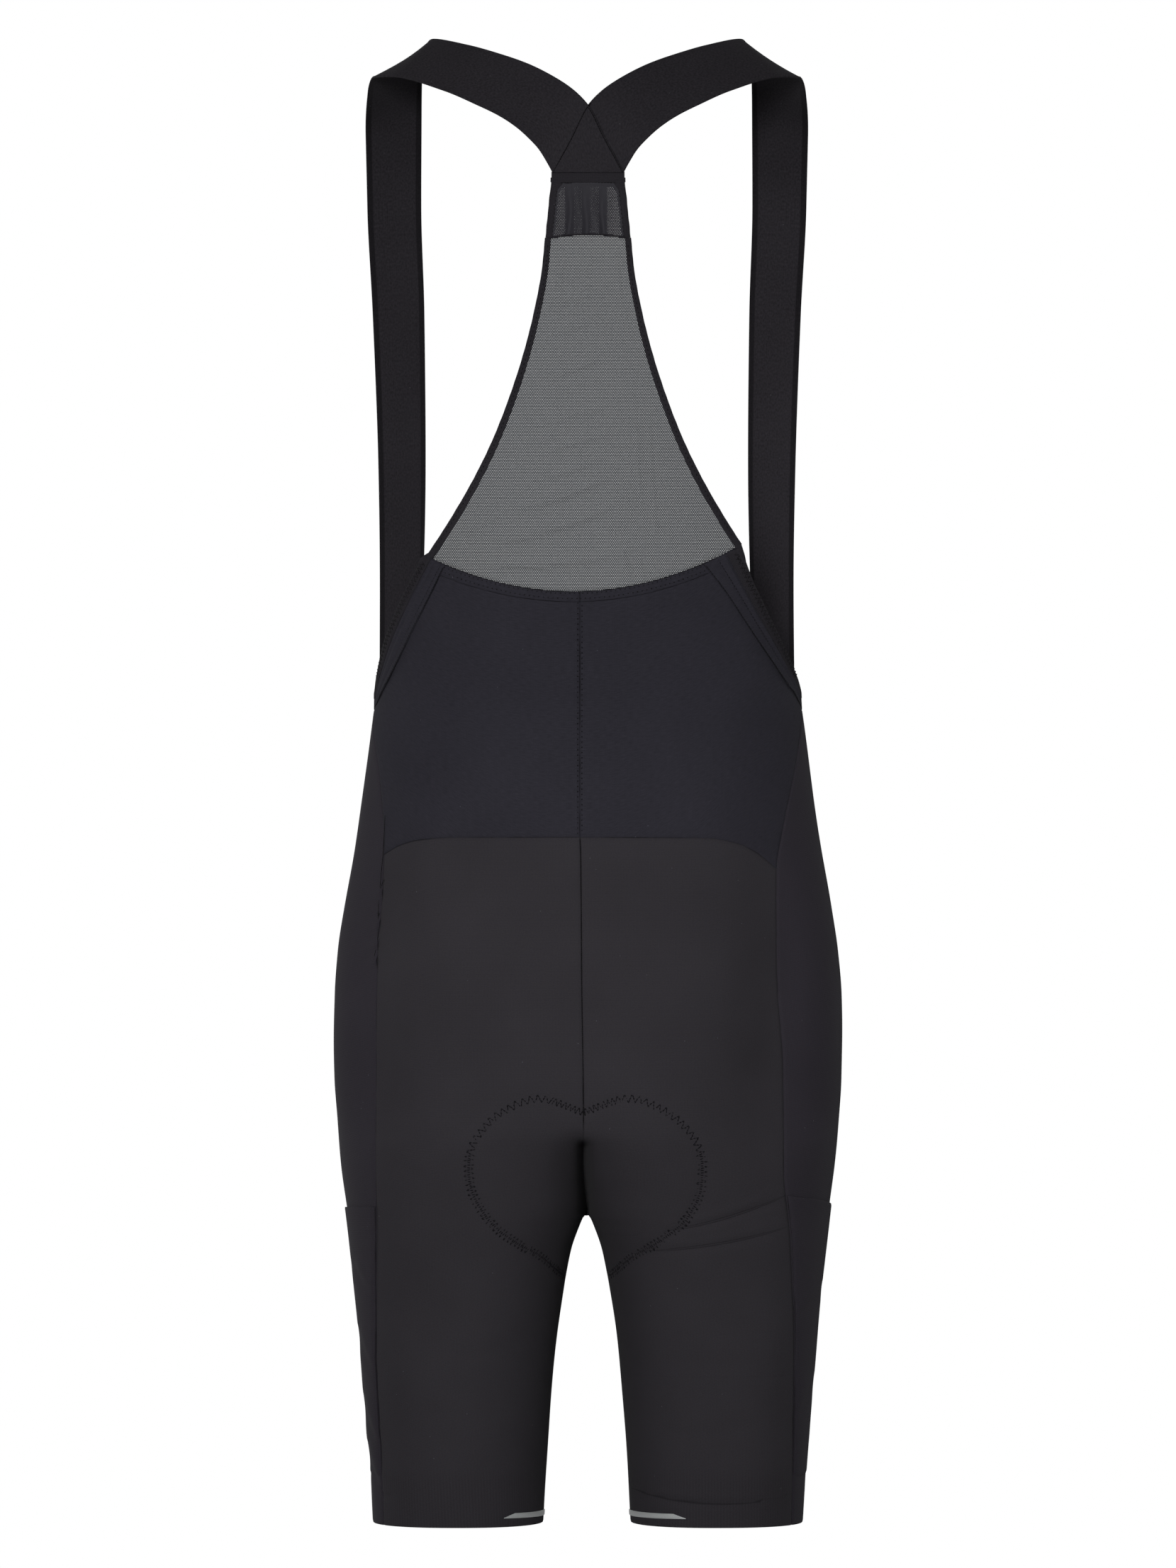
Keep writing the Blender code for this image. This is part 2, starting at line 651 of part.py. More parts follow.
def add_yoke_mesh():
    grid = []
    for i in range(4):
        half, drop = yoke_row(YOKE_MESH_HALF, i / 3)
        grid.append([on_back(half * (j / 2 - 1), drop) for j in range(5)])
    return wall("yoke_mesh", [grid], 2 * MESH, NET, MESH / 2)


def add_yoke_edge(side):
    grid = []
    for i in range(4):
        inner, drop = yoke_row(YOKE_MESH_HALF, i / 3)
        outer, _ = yoke_row(YOKE_EDGE_HALF, i / 3)
        grid.append([on_back(side * (inner + SEAM), drop), on_back(side * outer, drop)])
    return wall(f"yoke_edge_{SIDE_NAMES[side]}", [grid], EDGING + 0.8, BINDING, 0.8)


def add_yoke_band():
    bm = bmesh.new()
    bmesh.ops.create_cube(bm, size=1)
    size = (2 * YOKE_HALF, YOKE_OUT - YOKE_IN, YOKE_BOTTOM - YOKE_TOP)
    bmesh.ops.scale(bm, vec=size, verts=bm.verts)
    middle = (0, -(YOKE_OUT + YOKE_IN) / 2, -(YOKE_TOP + YOKE_BOTTOM) / 2)
    bmesh.ops.translate(bm, vec=middle, verts=bm.verts)
    bmesh.ops.bevel(bm, geom=bm.edges[:], offset=YOKE_ROUND, affect="EDGES", segments=2, profile=0.5)
    return add_object("yoke_band", bm, BINDING)


# ---------------------------------------------------------------- straps
def shoulder_y(x, drop):
    """Depth of the back of the shoulder, rounding from the shoulder line to the upper back."""
    line = SHOULDER_SLOPE * (abs(x) - SHOULDER_X)
    fall = min(max((drop - line) / SHOULDER_REACH, 0), 1)
    return -SHOULDER_BACK * (1 - (1 - fall) ** 2) ** 0.8


def strap_stations():
    """Neck-side and arm-side edge points of the right strap, front waist to yoke."""
    start = [
        body(ARMHOLE_LOW, share_at(ARMHOLE_LOW, x, front=True)) for x in STRAP_FRONT_X
    ]
    for point in start:
        point.z = -ARMHOLE_LOW + SEAM
    stations = [start]
    for row in FRONT_STRAP:
        stations.append([
            Vector((row.neck_x, row.neck_y, -row.neck_drop)),
            Vector((row.arm_x, row.arm_y, -row.arm_drop)),
        ])
    for row in BACK_STRAP:
        stations.append([
            Vector((row.neck_x, shoulder_y(row.neck_x, row.neck_drop), -row.neck_drop)),
            Vector((row.arm_x, shoulder_y(row.arm_x, row.arm_drop), -row.arm_drop)),
        ])
    return stations


def strap_edges():
    """The two edges as functions of t, from 0 at the front waist to 1 at the yoke.

    Then the values of t for the rows of cloth, for the shoulder and for where the straps cross.
    """
    stations = strap_stations()
    lengths = [0.0]
    for before, after in zip(stations, stations[1:]):
        step = ((before[0] + before[1]) / 2 - (after[0] + after[1]) / 2).length
        lengths.append(lengths[-1] + step)
    places = [length / lengths[-1] for length in lengths]
    edges = []
    for which in (0, 1):
        axes = [smooth(places, [station[which][axis] for station in stations]) for axis in range(3)]
        edges.append(axes)
    rows = [0.0]
    for k, row in enumerate(FRONT_STRAP + BACK_STRAP):
        rows += [mix(places[k], places[k + 1], (j + 1) / row.rows) for j in range(row.rows)]
    return edges, rows, places[len(FRONT_STRAP) + 1], places[-5]


STRAP_EDGES, STRAP_ROWS, SHOULDER_T, LAP_T = strap_edges()


def strap_point(side, t, w):
    """A point of the strap's outer face; w from 0 at the neck edge to 1 at the arm edge."""
    neck, arm = STRAP_EDGES
    x, y, z = (mix(neck[axis](t), arm[axis](t), w) for axis in range(3))
    if t > SHOULDER_T:
        y = shoulder_y(x, -z)
    under = min(max((t - SHOULDER_T) / (LAP_T - SHOULDER_T), 0), 1)
    under *= under * (3 - 2 * under)
    if side == RIGHT:
        y += STRAP_LAP * under
    return Vector((side * x - STRAP_SHIFT * (1 - under), y, z))


def strap_outward(side, t, w):
    step = 0.002
    along = strap_point(side, min(t + step, 1), w) - strap_point(side, max(t - step, 0), w)
    across = strap_point(side, t, min(w + 0.1, 1)) - strap_point(side, t, max(w - 0.1, 0))
    return side * across.cross(along).normalized()


def add_strap(side):
    grid = []
    for t in STRAP_ROWS:
        row = []
        for j in range(STRAP_COLUMNS + 1):
            w = j / STRAP_COLUMNS
            row.append((strap_point(side, t, w), strap_outward(side, t, w)))
        grid.append(row)
    return wall(f"strap_{SIDE_NAMES[side]}", [grid], WEBBING, ELASTIC)


# ---------------------------------------------------------------- the garment
def main():
    for obj in list(bpy.data.objects):
        bpy.data.objects.remove(obj)
    add_yoke_band()
    add_yoke_mesh()
    add_back_mesh()
    for side in (LEFT, RIGHT):
        add_strap(side)
        add_yoke_edge(side)
        add_mesh_edge(side)
        add_waist_panel(side)
        add_armhole_band(side)
        add_seat_panel(side)
        add_side_panel(side)
        add_leg_pocket(side)
        add_front_panel(side)
        add_hem_reflector(side)
        add_seat_pad(side)


main()
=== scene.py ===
# %% [markdown]
# # Cycling bib shorts, filled out with no wearer
# Bib shorts are cut from a dozen flat pieces of stretch knit: two seat panels, two side
# panels with a pocket layer, two fronts, two waist panels, an open net for the upper back
# and two elastic straps. A good way to model them is the maker's way. One smooth form
# stands for the figure, each panel is a fine grid laid on that form between its seams, and
# Solidify gives it the thickness of the cloth. Stitches, bindings and film tabs come last.
#
# All tables here are in millimetres. "drop" is the distance below the tops of the straps,
# "girth" the distance round one half of the body from the centre back, and "share" the same
# distance as a share of that half. The back faces -Y and the wearer's right side is +X.

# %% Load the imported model
import math
from collections import namedtuple
from functools import lru_cache

import bmesh
import bpy
import numpy as np
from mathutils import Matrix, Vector


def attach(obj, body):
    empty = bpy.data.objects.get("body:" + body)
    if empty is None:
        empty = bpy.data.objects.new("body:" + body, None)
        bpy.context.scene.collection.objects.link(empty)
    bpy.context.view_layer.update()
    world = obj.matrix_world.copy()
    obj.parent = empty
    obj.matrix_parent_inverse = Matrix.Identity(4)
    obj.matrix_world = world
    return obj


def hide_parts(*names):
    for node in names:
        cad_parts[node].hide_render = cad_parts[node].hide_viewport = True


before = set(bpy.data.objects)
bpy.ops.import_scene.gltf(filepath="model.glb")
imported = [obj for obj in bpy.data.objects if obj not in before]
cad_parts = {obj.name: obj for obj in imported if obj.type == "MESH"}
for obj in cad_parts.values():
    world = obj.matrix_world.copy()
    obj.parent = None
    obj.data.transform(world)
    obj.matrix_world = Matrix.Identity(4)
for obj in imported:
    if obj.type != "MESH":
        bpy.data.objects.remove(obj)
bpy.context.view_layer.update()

MM = 0.001
LEFT, RIGHT = -1, 1
SIDES = {LEFT: "left", RIGHT: "right"}


def table(columns, *rows):
    """Rows of numbers with named columns."""
    kind = namedtuple("Row", columns)
    return [kind(*row) for row in rows]


# %% [markdown]
# ## The figure as tables
# A tailor's stand is a set of girths at known heights. The same idea works here: a row for
# each height gives the half width and the depths to the back and the front, and a smooth
# curve through each column fills in between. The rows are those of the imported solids, so
# that the cloth lies exactly where they are.

# %% Sizes and tables of the form
SEAM = -0.3      # sewn edges lap by this much, so that no light shows between them
CLOTH, NET, WEBBING, LAYER, FILM, FOAM = 1.2, 1.0, 1.4, 0.9, 0.5, 5.0
HEM, CROTCH, WAIST_SEAM, ARMHOLE_LOW, FRONT_DIP = 1002.5, 793.5, 539.0, 453.3, 15.0
NET_TOP, NET_LOW, NET_SHIFT, NET_CURVE = 139.4, 375.0, -10.0, 0.0025
NET_CORNER = 352.0      # where the net's side edge ends at the armhole
SETTLE = 12             # rounds in which a seam's drop settles on the curved form
BINDING_WIDTH = 4.2
OUTER_ROUND = 2.25
WAIST_FADE = 110.0

SECTIONS = table(
    "drop half back front",
    (90, 152.0, 98.0, 92.0), (140, 156.0, 100.5, 98.0), (200, 157.0, 101.5, 101.0),
    (260, 154.0, 100.0, 102.0), (320, 148.0, 96.5, 101.0), (375, 143.5, 92.5, 100.0),
    (430, 141.9, 89.5, 100.0), (458, 145.6, 89.5, 100.5), (500, 151.0, 92.5, 101.0),
    (545, 157.7, 99.0, 100.5), (587, 165.0, 107.0, 99.0), (616, 169.3, 112.5, 97.0),
    (645, 171.4, 117.0, 95.0), (673, 171.8, 119.5, 93.5), (702, 171.4, 120.0, 92.0),
    (731, 169.4, 118.0, 90.5), (760, 167.0, 112.0, 88.5), (793.5, 162.7, 102.0, 86.0),
    (817, 159.9, 95.0, 83.0), (846, 157.0, 88.0, 79.5), (904, 152.0, 77.5, 72.5),
    (961, 147.6, 69.5, 66.5), (1002.5, 145.4, 64.5, 62.5),
)
PARTINGS = table(
    "drop split gap inner_round",
    (700, 0.00, 0.0, 2.25), (722, 0.10, 0.0, 2.4), (735, 0.30, 0.0, 2.7),
    (745, 0.62, 0.0, 3.0), (755, 0.80, 0.0, 3.1), (765, 0.89, 0.0, 3.1),
    (775, 0.945, 0.0, 3.0), (785, 0.98, 0.0, 3.0), (793.5, 1.00, 0.0, 2.9),
    (797, 1.00, 2.6, 2.85), (803, 1.00, 5.3, 2.8), (817, 1.00, 10.2, 2.6),
    (832, 1.00, 13.4, 2.5), (846, 1.00, 15.8, 2.4), (875, 1.00, 19.9, 2.3),
    (904, 1.00, 22.8, 2.25), (933, 1.00, 25.2, 2.2), (961, 1.00, 27.1, 2.2),
    (1002.5, 1.00, 29.6, 2.2),
)
LEAN = table(
    "drop left",
    (350, 5.4), (535, 5.5), (550, 4.9), (650, 4.0), (700, 3.2), (760, 2.7),
    (793.5, 0.9), (1003, 0.7),
)
# Of a seam's or an edge's table, x is how far from the centre line it runs at that drop.
SIDE_SEAM_BACK = {
    LEFT: table(
        "drop x",
        (343, 103.5), (351, 108.6), (384, 126.8), (410, 136.9), (433, 141.6), (453, 144.6),
        (465, 145.0), (494, 141.0), (542, 137.2), (574, 137.8), (625, 141.6), (740, 142.0),
        (800, 141.8), (880, 142.6), (960, 139.0), (1003, 137.5),
    ),
    RIGHT: table(
        "drop x",
        (343, 102.2), (366, 110.4), (387, 119.8), (410, 130.8), (427, 138.2), (436, 141.4),
        (453, 144.6), (486, 141.0), (524, 133.5), (562, 127.4), (631, 127.8), (693, 131.4),
        (765, 131.6), (809, 135.8), (884, 138.8), (1003, 137.5),
    ),
}
SIDE_SEAM_FRONT = table(
    "drop x",
    (453, 143.6), (500, 139.0), (560, 135.0), (640, 138.0), (740, 140.5), (820, 139.5),
    (900, 136.5), (1003, 132.0),
)
WAIST_CURVE = {
    LEFT: table(
        "across drop",
        (0.0, 539.0), (0.6, 539.2), (0.78, 541.0), (0.88, 544.0), (1.0, 551.0),
    ),
    RIGHT: table(
        "across drop",
        (0.0, 539.0), (0.6, 539.6), (0.75, 543.0), (0.87, 549.5), (1.0, 560.5),
    ),
}
ARMHOLE_BAND = {
    LEFT: table(
        "drop x", (345, 87.0), (368, 99.0), (396, 114.3), (441, 137.5), (453, 143.9),
    ),
    RIGHT: table(
        "drop x", (338, 72.0), (360, 85.4), (400, 109.5), (445, 139.5), (451, 143.4),
    ),
}
NET_EDGE = table(
    "drop x",
    (139, 28.8), (160, 30.8), (189, 36.2), (217, 43.3), (245, 52.4), (274, 63.8),
    (302, 77.7), (330, 94.4), (352, 109.2),
)


# %% Smooth curves through the tables
def smooth(places, values):
    """A smooth function through the given values, with no overshoot between them."""
    places, values = np.asarray(places, float), np.asarray(values, float)
    widths = np.diff(places)
    steps = np.diff(values) / widths
    product = steps[:-1] * steps[1:]
    total = np.where(product > 0, steps[:-1] + steps[1:], 1)
    slopes = np.concatenate([steps[:1], np.where(product > 0, 2 * product / total, 0), steps[-1:]])

    def value(place):
        k = np.clip(np.searchsorted(places, place, side="right") - 1, 0, len(steps) - 1)
        t = np.clip((place - places[k]) / widths[k], 0, 1)
        rise = values[k + 1] - values[k]
        lean_in, lean_out = slopes[k] * widths[k], slopes[k + 1] * widths[k]
        bend = (lean_in + lean_out - 2 * rise) * t + (3 * rise - 2 * lean_in - lean_out)
        return values[k] + (bend * t + lean_in) * t

    return value


def column(rows, name, by="drop"):
    return smooth([getattr(row, by) for row in rows], [getattr(row, name) for row in rows])


def mix(start, end, t):
    return start + (end - start) * t


def bell(value):
    """A soft bump: 1 where the value is 0, and nearly 0 past 2."""
    return np.exp(-value ** 2)


def unit(vectors):
    """The same directions, each with a length of one."""
    return vectors / np.maximum(np.linalg.norm(vectors, axis=-1, keepdims=True), 1e-9)


def run_of(path):
    """How far along a path each of its points lies."""
    steps = np.linalg.norm(np.diff(path, axis=0), axis=1)
    return np.append(0, np.cumsum(steps))


half_at, back_at, front_at = (column(SECTIONS, name) for name in ("half", "back", "front"))
split_at, gap_at, inner_round_at = (
    column(PARTINGS, name) for name in ("split", "gap", "inner_round"))
lean_at = column(LEAN, "left")
waist_drop = {side: column(WAIST_CURVE[side], "drop", "across") for side in SIDES}
band_x = {side: column(ARMHOLE_BAND[side], "x") for side in SIDES}
net_edge_x = column(NET_EDGE, "x")
print("half width at the hips, mm:", float(half_at(673)), "at the hem:", float(half_at(HEM)))

# %% [markdown]
# ## From the tables to one smooth form
# At each height the half body is an oval, a little squarer than an ellipse. At the seat it
# parts from the other half and closes into the round of a leg. The rings are worked out once,
# a millimetre apart, and kept as an array, so that a panel of ten thousand points only has
# to look its points up.

# %% The rings and the form
DROPS = np.append(np.arange(90.0, HEM), HEM)
SHARES = np.linspace(0, 1, 361)


@lru_cache(maxsize=None)
def ring(drop):
    """x, y and girth of points round one half at this drop, centre back to centre front."""
    half, gap, split = half_at(drop), gap_at(drop), split_at(drop)
    inner_round = inner_round_at(drop)
    radius = (half - gap) / (1 + split)
    back, front = back_at(drop), front_at(drop)
    side_line = (front - back) / 4
    last = math.acos(-min(split ** (inner_round / 2), 1)) if split > 0 else math.pi / 2
    angle = np.linspace(-last, last, len(SHARES))
    across, along = np.cos(angle), np.sin(angle)
    power = 2 / np.where(across > 0, OUTER_ROUND, inner_round)
    depth = np.where(along > 0, front - side_line, back + side_line)
    x = gap + split * radius + radius * np.sign(across) * np.abs(across) ** power
    x = np.maximum(x, SEAM / 2)
    y = side_line + depth * np.sign(along) * np.abs(along) ** power
    return x, y, run_of(np.stack([x, y], axis=1))


GIRTHS = np.array([ring(drop)[2][-1] for drop in DROPS])
half_form = np.array([
    [np.interp(SHARES * girth[-1], girth, x), np.interp(SHARES * girth[-1], girth, y)]
    for x, y, girth in map(ring, DROPS)
])


def half_girth(drop):
    return np.interp(drop, DROPS, GIRTHS)


def share_of(drop, x, front=False):
    """Share of the half girth at which the form is this far from the centre line."""
    xs, _, girths = ring(drop)
    widest = int(np.argmax(xs))
    x = min(x, 0.9985 * half_at(drop))      # past the widest place the girth is not unique
    if front:
        return np.interp(x, xs[widest:][::-1], girths[widest:][::-1]) / girths[-1]
    return np.interp(x, xs[:widest + 1], girths[:widest + 1]) / girths[-1]


def seam_table(edges, front=False):
    edge_x = column(edges, "x")
    return np.array([share_of(drop, edge_x(drop), front) for drop in DROPS])


SEAM_BACK = {side: seam_table(SIDE_SEAM_BACK[side]) for side in SIDES}
SEAM_FRONT = seam_table(SIDE_SEAM_FRONT, front=True)
FORM = {}
for side in SIDES:
    x = side * half_form[:, 0]
    half = half_at(DROPS)[:, None]
    x = x - lean_at(DROPS)[:, None] * (1 - (x / half) ** 2) ** 2
    z = np.broadcast_to(-DROPS[:, None], x.shape)
    FORM[side] = np.stack([x, half_form[:, 1], z], axis=-1)
print("form of", FORM[LEFT].shape[:2], "points a side; hip girth, mm:", round(2 * half_girth(690)))


# %% Places on the form
HOLLOWS = table(
    "side x drop reach_x reach_drop depth",      # beside the seat, where an empty garment falls in
    (RIGHT, 128, 645, 24, 110, 12.0), (LEFT, 147, 640, 24, 105, 10.5),
    (RIGHT, 112, 560, 26, 60, 2.0), (RIGHT, 104, 870, 22, 70, 2.5), (LEFT, 112, 870, 20, 70, 1.5),
)


def on_body(side, drop, share):
    """Points of one half of the form, in millimetres, for arrays of drops and shares."""
    points = on_form(side, drop, share)
    behind = np.clip(-points[..., 1] / 30, 0, 1)
    for hollow in HOLLOWS:
        if hollow.side == side:
            near_x = bell((side * points[..., 0] - hollow.x) / hollow.reach_x)
            near_drop = bell((-points[..., 2] - hollow.drop) / hollow.reach_drop)
            points[..., 1] += behind * hollow.depth * near_x * near_drop
    return points


def on_form(side, drop, share):
    i = np.interp(drop, DROPS, np.arange(len(DROPS)))
    j = np.clip(share, 0, 1) * (len(SHARES) - 1)
    i0, j0 = np.minimum(i.astype(int), len(DROPS) - 2), np.minimum(j.astype(int), len(SHARES) - 2)
    s, t = (i - i0)[..., None], (j - j0)[..., None]
    form = FORM[side]
    upper = mix(form[i0, j0], form[i0, j0 + 1], t)
    return mix(upper, mix(form[i0 + 1, j0], form[i0 + 1, j0 + 1], t), s)


def seam_share(drop):
    return SEAM / 2 / half_girth(drop)


CLEFT_TOP, CLEFT_LOW = 740.5, 793.0


def seat_form(points):
    """The seat's fullness on either side, and the narrow cleft where its seam is drawn in."""
    x, drop = points[..., 0] + lean_at(-points[..., 2]), -points[..., 2]
    full = 5.0 * bell((np.abs(x) - 46) / 40) * bell((drop - 735) / 75)
    low = np.clip((CLEFT_LOW + 10 - drop) / 10, 0, 1)
    grown = np.clip((drop - CLEFT_TOP) / 4, 0, 1) * low
    soft = np.clip((drop - CLEFT_TOP + 8) / 24, 0, 1) * low
    drawn = 26 * grown * np.exp(-(np.abs(x) / 3.0) ** 1.6)
    drawn = drawn + soft * np.where(x < 0, 8.5 * bell(x / 14), 2.5 * bell(x / 6))
    moved = points.copy()
    moved[..., 1] += drawn - full
    return moved


def back_seam(side, drop):
    return np.interp(drop, DROPS, SEAM_BACK[side])


def front_seam(drop):
    return np.interp(drop, DROPS, SEAM_FRONT)


def on_back(x, drop):
    """Points of the general figure's upper back, where the net lies."""
    back, front = back_at(drop), front_at(drop)
    side_line = (front - back) / 4
    rest = 1 - (np.abs(x) / half_at(drop)) ** OUTER_ROUND
    y = side_line - (back + side_line) * rest ** (1 / OUTER_ROUND)
    return np.stack(np.broadcast_arrays(x, y, -drop), axis=-1)


def back_out(points):
    """Outward directions of the upper back at points that lie on it."""
    x, drop = points[:, 0], -points[:, 2]
    beyond = on_back(x + 0.5, drop) - on_back(x - 0.5, drop)
    down = on_back(x, drop + 0.5) - on_back(x, drop - 0.5)
    return unit(np.cross(down, beyond))


# %% [markdown]
# ## Laying cloth
# One function lays every panel. It starts from a grid, moves the grid's points onto the
# form, turns the faces outwards and writes a UV map whose unit is a metre of cloth, so that
# a knit keeps its real size everywhere. Rows and columns crowd together near the edges,
# because that is where the cloth rounds over into a seam.

# %% Grids of cloth
EDGE_ROWS = np.array([0, 0.35, 0.8, 1.4, 2.2, 3.4])
FAR = 20.0      # where there is no fold near, its map says this many millimetres


def crowded(length, step):
    """Places from 0 to 1 along a length in millimetres, closer together near both ends."""
    last = EDGE_ROWS[-1]
    inner = np.linspace(last, length - last, max(round((length - 2 * last) / step), 1) + 1)
    return np.concatenate([EDGE_ROWS[:-1], inner, length - EDGE_ROWS[-2::-1]]) / length


def distances(points, axis):
    """How far each point lies from the grid's first edge, along the cloth, in millimetres."""
    steps = np.linalg.norm(np.diff(points, axis=axis), axis=-1)
    start = np.zeros_like(points[..., 0].take([0], axis=axis))
    return np.concatenate([start, np.cumsum(steps, axis=axis)], axis=axis)


def outwards(points, facing):
    return facing * unit(np.cross(np.gradient(points, axis=0), np.gradient(points, axis=1)))


# %% Making pieces
def add_grid(bm, points):
    """Adds faces through a grid of points (rows, columns, xyz) in millimetres."""
    rows, columns = points.shape[:2]
    made = bmesh.ops.create_grid(bm, x_segments=columns - 1, y_segments=rows - 1, size=1)
    for vert, place in zip(made["verts"], points.reshape(-1, 3) * MM):
        vert.co = place


def map_cloth(bm, **maps):
    """Writes UV maps, in metres, from arrays that hold two distances for each point."""
    layers = [(bm.loops.layers.uv.new(name), values.reshape(-1, 2) * MM)
              for name, values in maps.items()]
    bm.verts.ensure_lookup_table()
    for face in bm.faces:
        for loop in face.loops:
            for layer, values in layers:
                loop[layer].uv = values[loop.vert.index]


def mesh_of(name, bm):
    mesh = bpy.data.meshes.new(name)
    bm.to_mesh(mesh)
    bm.free()
    return mesh


def put(name, data):
    """Puts an object with this mesh, lamp or camera into the scene."""
    made = bpy.data.objects.new(name, data)
    bpy.context.scene.collection.objects.link(made)
    return made


def add_piece(name, bm, finish, replaces=None, corner=None):
    """Makes the bmesh, in metres, a piece that rides on the one body. Edges that turn more
    than corner degrees stay sharp."""
    mesh = mesh_of(name, bm)
    mesh.materials.append(finish)
    mesh.shade_smooth()
    if corner:
        mesh.set_sharp_from_angle(angle=math.radians(corner))
    piece = put(f"{name}_shown", mesh)
    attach(piece, "root")
    if replaces:
        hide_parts(replaces)
    return piece


# %% Laying a sheet and printing its cut
def lay(name, points, facing, finish, thickness, lift, replaces=None, from_last=False,
        folds=None):
    """Cloth on a grid of points (rows, columns, xyz) in millimetres, with a wall inwards.
    The UV's grain runs along the grid's first column, or along its last one. Two more UV maps
    hold the distances to the nearest edge across and down, and to the thin folds."""
    across, down = distances(points, 1), distances(points, 0)
    edges = np.minimum(across, across[:, -1:] - across), np.minimum(down, down[-1:] - down)
    if from_last:
        across = across - across[:, -1:]
    cloth = np.stack([across, down], axis=-1)
    lift = lift * np.ones(across.shape)
    bm = bmesh.new()
    add_grid(bm, points + outwards(points, facing) * lift[..., None])
    map_cloth(bm, cloth=cloth, edge=np.stack(edges, axis=-1),
              fold=np.full(cloth.shape, FAR) if folds is None else folds)
    if facing > 0:
        bmesh.ops.reverse_faces(bm, faces=bm.faces)
    piece = add_piece(name, bm, finish, replaces)
    solid = piece.modifiers.new("thickness", "SOLIDIFY")
    solid.thickness = thickness * MM
    solid.offset = -1
    return piece


def declare(piece, width, length, area, **more):
    """Prints a sheet's cut, in millimetres, as it lies flat before it is sewn."""
    area = min(area, width * length)
    print(f"{piece.name}: cut {width:.0f} x {length:.0f} mm, {area / 100:.0f} cm2")
    return piece


def cut_of(piece, points, **more):
    across, down = distances(points, 1)[:, -1], distances(points, 0)[-1]
    quads = np.cross(points[1:, 1:] - points[:-1, :-1], points[1:, :-1] - points[:-1, 1:])
    area = float(np.linalg.norm(quads, axis=-1).sum() / 2)
    return declare(piece, float(across.max()), float(down.max()), area, **more)


# %% [markdown]
# ## Creases
# Stretch knit on a filled form is almost smooth. What creases it has are short, shallow and
# uneven: drag lines behind the knee side of a leg, a fold above the hem, small puckers where
# an overlocked seam pulls. Each is one row of a table: where it starts and ends, how far it
# bows, its depth and its width. It becomes a soft trough with a lower ridge beside it, and
# fades out at both ends.

# %% The table of creases
BACK, FRONT = False, True
CREASES = table(
    "side front x0 drop0 x1 drop1 bow depth width",
    (RIGHT, BACK, 50, 802.0, 134, 777.5, 3.0, 0.9, 2.0),     # drag lines below the seat
    (RIGHT, BACK, 38, 815.5, 132, 800.5, 3.0, 1.0, 2.0),
    (RIGHT, BACK, 96, 792.0, 128, 784.0, -1.0, 0.35, 2.6),
    (RIGHT, BACK, 60, 808.0, 96, 803.0, 1.0, 0.35, 2.4),
    (RIGHT, BACK, 28, 978.5, 118, 985.0, 4.0, 1.2, 2.0),     # the fold above the right hem
    (RIGHT, BACK, 48, 988.5, 108, 989.5, 0.5, -0.35, 3.0),
    (LEFT, BACK, 38, 872.0, 96, 884.0, 5.0, 0.35, 5.0),
    (LEFT, BACK, 60, 931.0, 132, 914.0, 5.0, 0.3, 6.0),
    (RIGHT, BACK, 60, 893.0, 128, 905.0, -6.0, 0.35, 6.0),
    (RIGHT, BACK, 44, 941.0, 120, 929.0, 4.0, 0.3, 5.0),
    (LEFT, BACK, 84, 700.0, 138, 660.0, 8.0, 0.45, 9.0),
    (RIGHT, BACK, 80, 706.0, 128, 672.0, 8.0, 0.4, 9.0),
    (LEFT, BACK, 24, 612.0, 92, 590.0, 9.0, 0.35, 10.0),
    (RIGHT, BACK, 20, 622.0, 86, 596.0, 9.0, 0.35, 10.0),
    (LEFT, BACK, 104, 768.0, 138, 748.0, 3.0, 0.35, 5.0),
    (LEFT, FRONT, 14, 742.0, 110, 668.0, -10.0, 1.0, 7.0),   # drag lines of the fronts
    (RIGHT, FRONT, 14, 738.0, 116, 676.0, -9.0, 0.9, 6.5),
    (LEFT, FRONT, 22, 760.0, 126, 726.0, -7.0, 0.8, 5.5),
    (RIGHT, FRONT, 20, 766.0, 120, 738.0, -8.0, 0.9, 5.0),
    (LEFT, FRONT, 30, 806.0, 118, 790.0, 4.0, 0.6, 4.5),
    (RIGHT, FRONT, 34, 800.0, 104, 792.0, 4.0, 0.5, 4.5),
    (LEFT, FRONT, 12, 560.0, 96, 548.0, 5.0, 0.6, 6.0),
    (RIGHT, FRONT, 16, 574.0, 104, 556.0, 6.0, 0.6, 6.5),
    (LEFT, FRONT, 20, 514.0, 110, 508.0, 4.0, 0.5, 5.0),
    (RIGHT, FRONT, 8, 528.0, 84, 516.0, 4.0, 0.5, 5.0),
    (LEFT, FRONT, 44, 905.0, 120, 896.0, 5.0, 0.5, 5.0),
    (RIGHT, FRONT, 36, 924.0, 108, 934.0, -4.0, 0.5, 5.0),
    (LEFT, FRONT, 40, 980.0, 104, 985.0, 2.0, 0.7, 1.8),
    (LEFT, BACK, 157, 822.0, 145, 843.0, 3.0, 1.0, 2.2),     # the pocket's cloth stands off
    (LEFT, BACK, 155, 868.0, 144, 898.0, 2.0, 0.9, 2.2),
    (LEFT, BACK, 151, 914.0, 141, 948.0, 2.0, 1.0, 2.2),
    (LEFT, BACK, 149, 946.0, 140, 978.0, 2.0, 1.2, 2.4),
    (LEFT, BACK, 144, 979.5, 129, 983.0, 1.0, 0.8, 2.0),
    (RIGHT, BACK, 157, 838.0, 141, 862.0, 3.0, 0.8, 3.0),
    (RIGHT, BACK, 151, 900.0, 141, 930.0, 2.0, 0.7, 3.0),
)


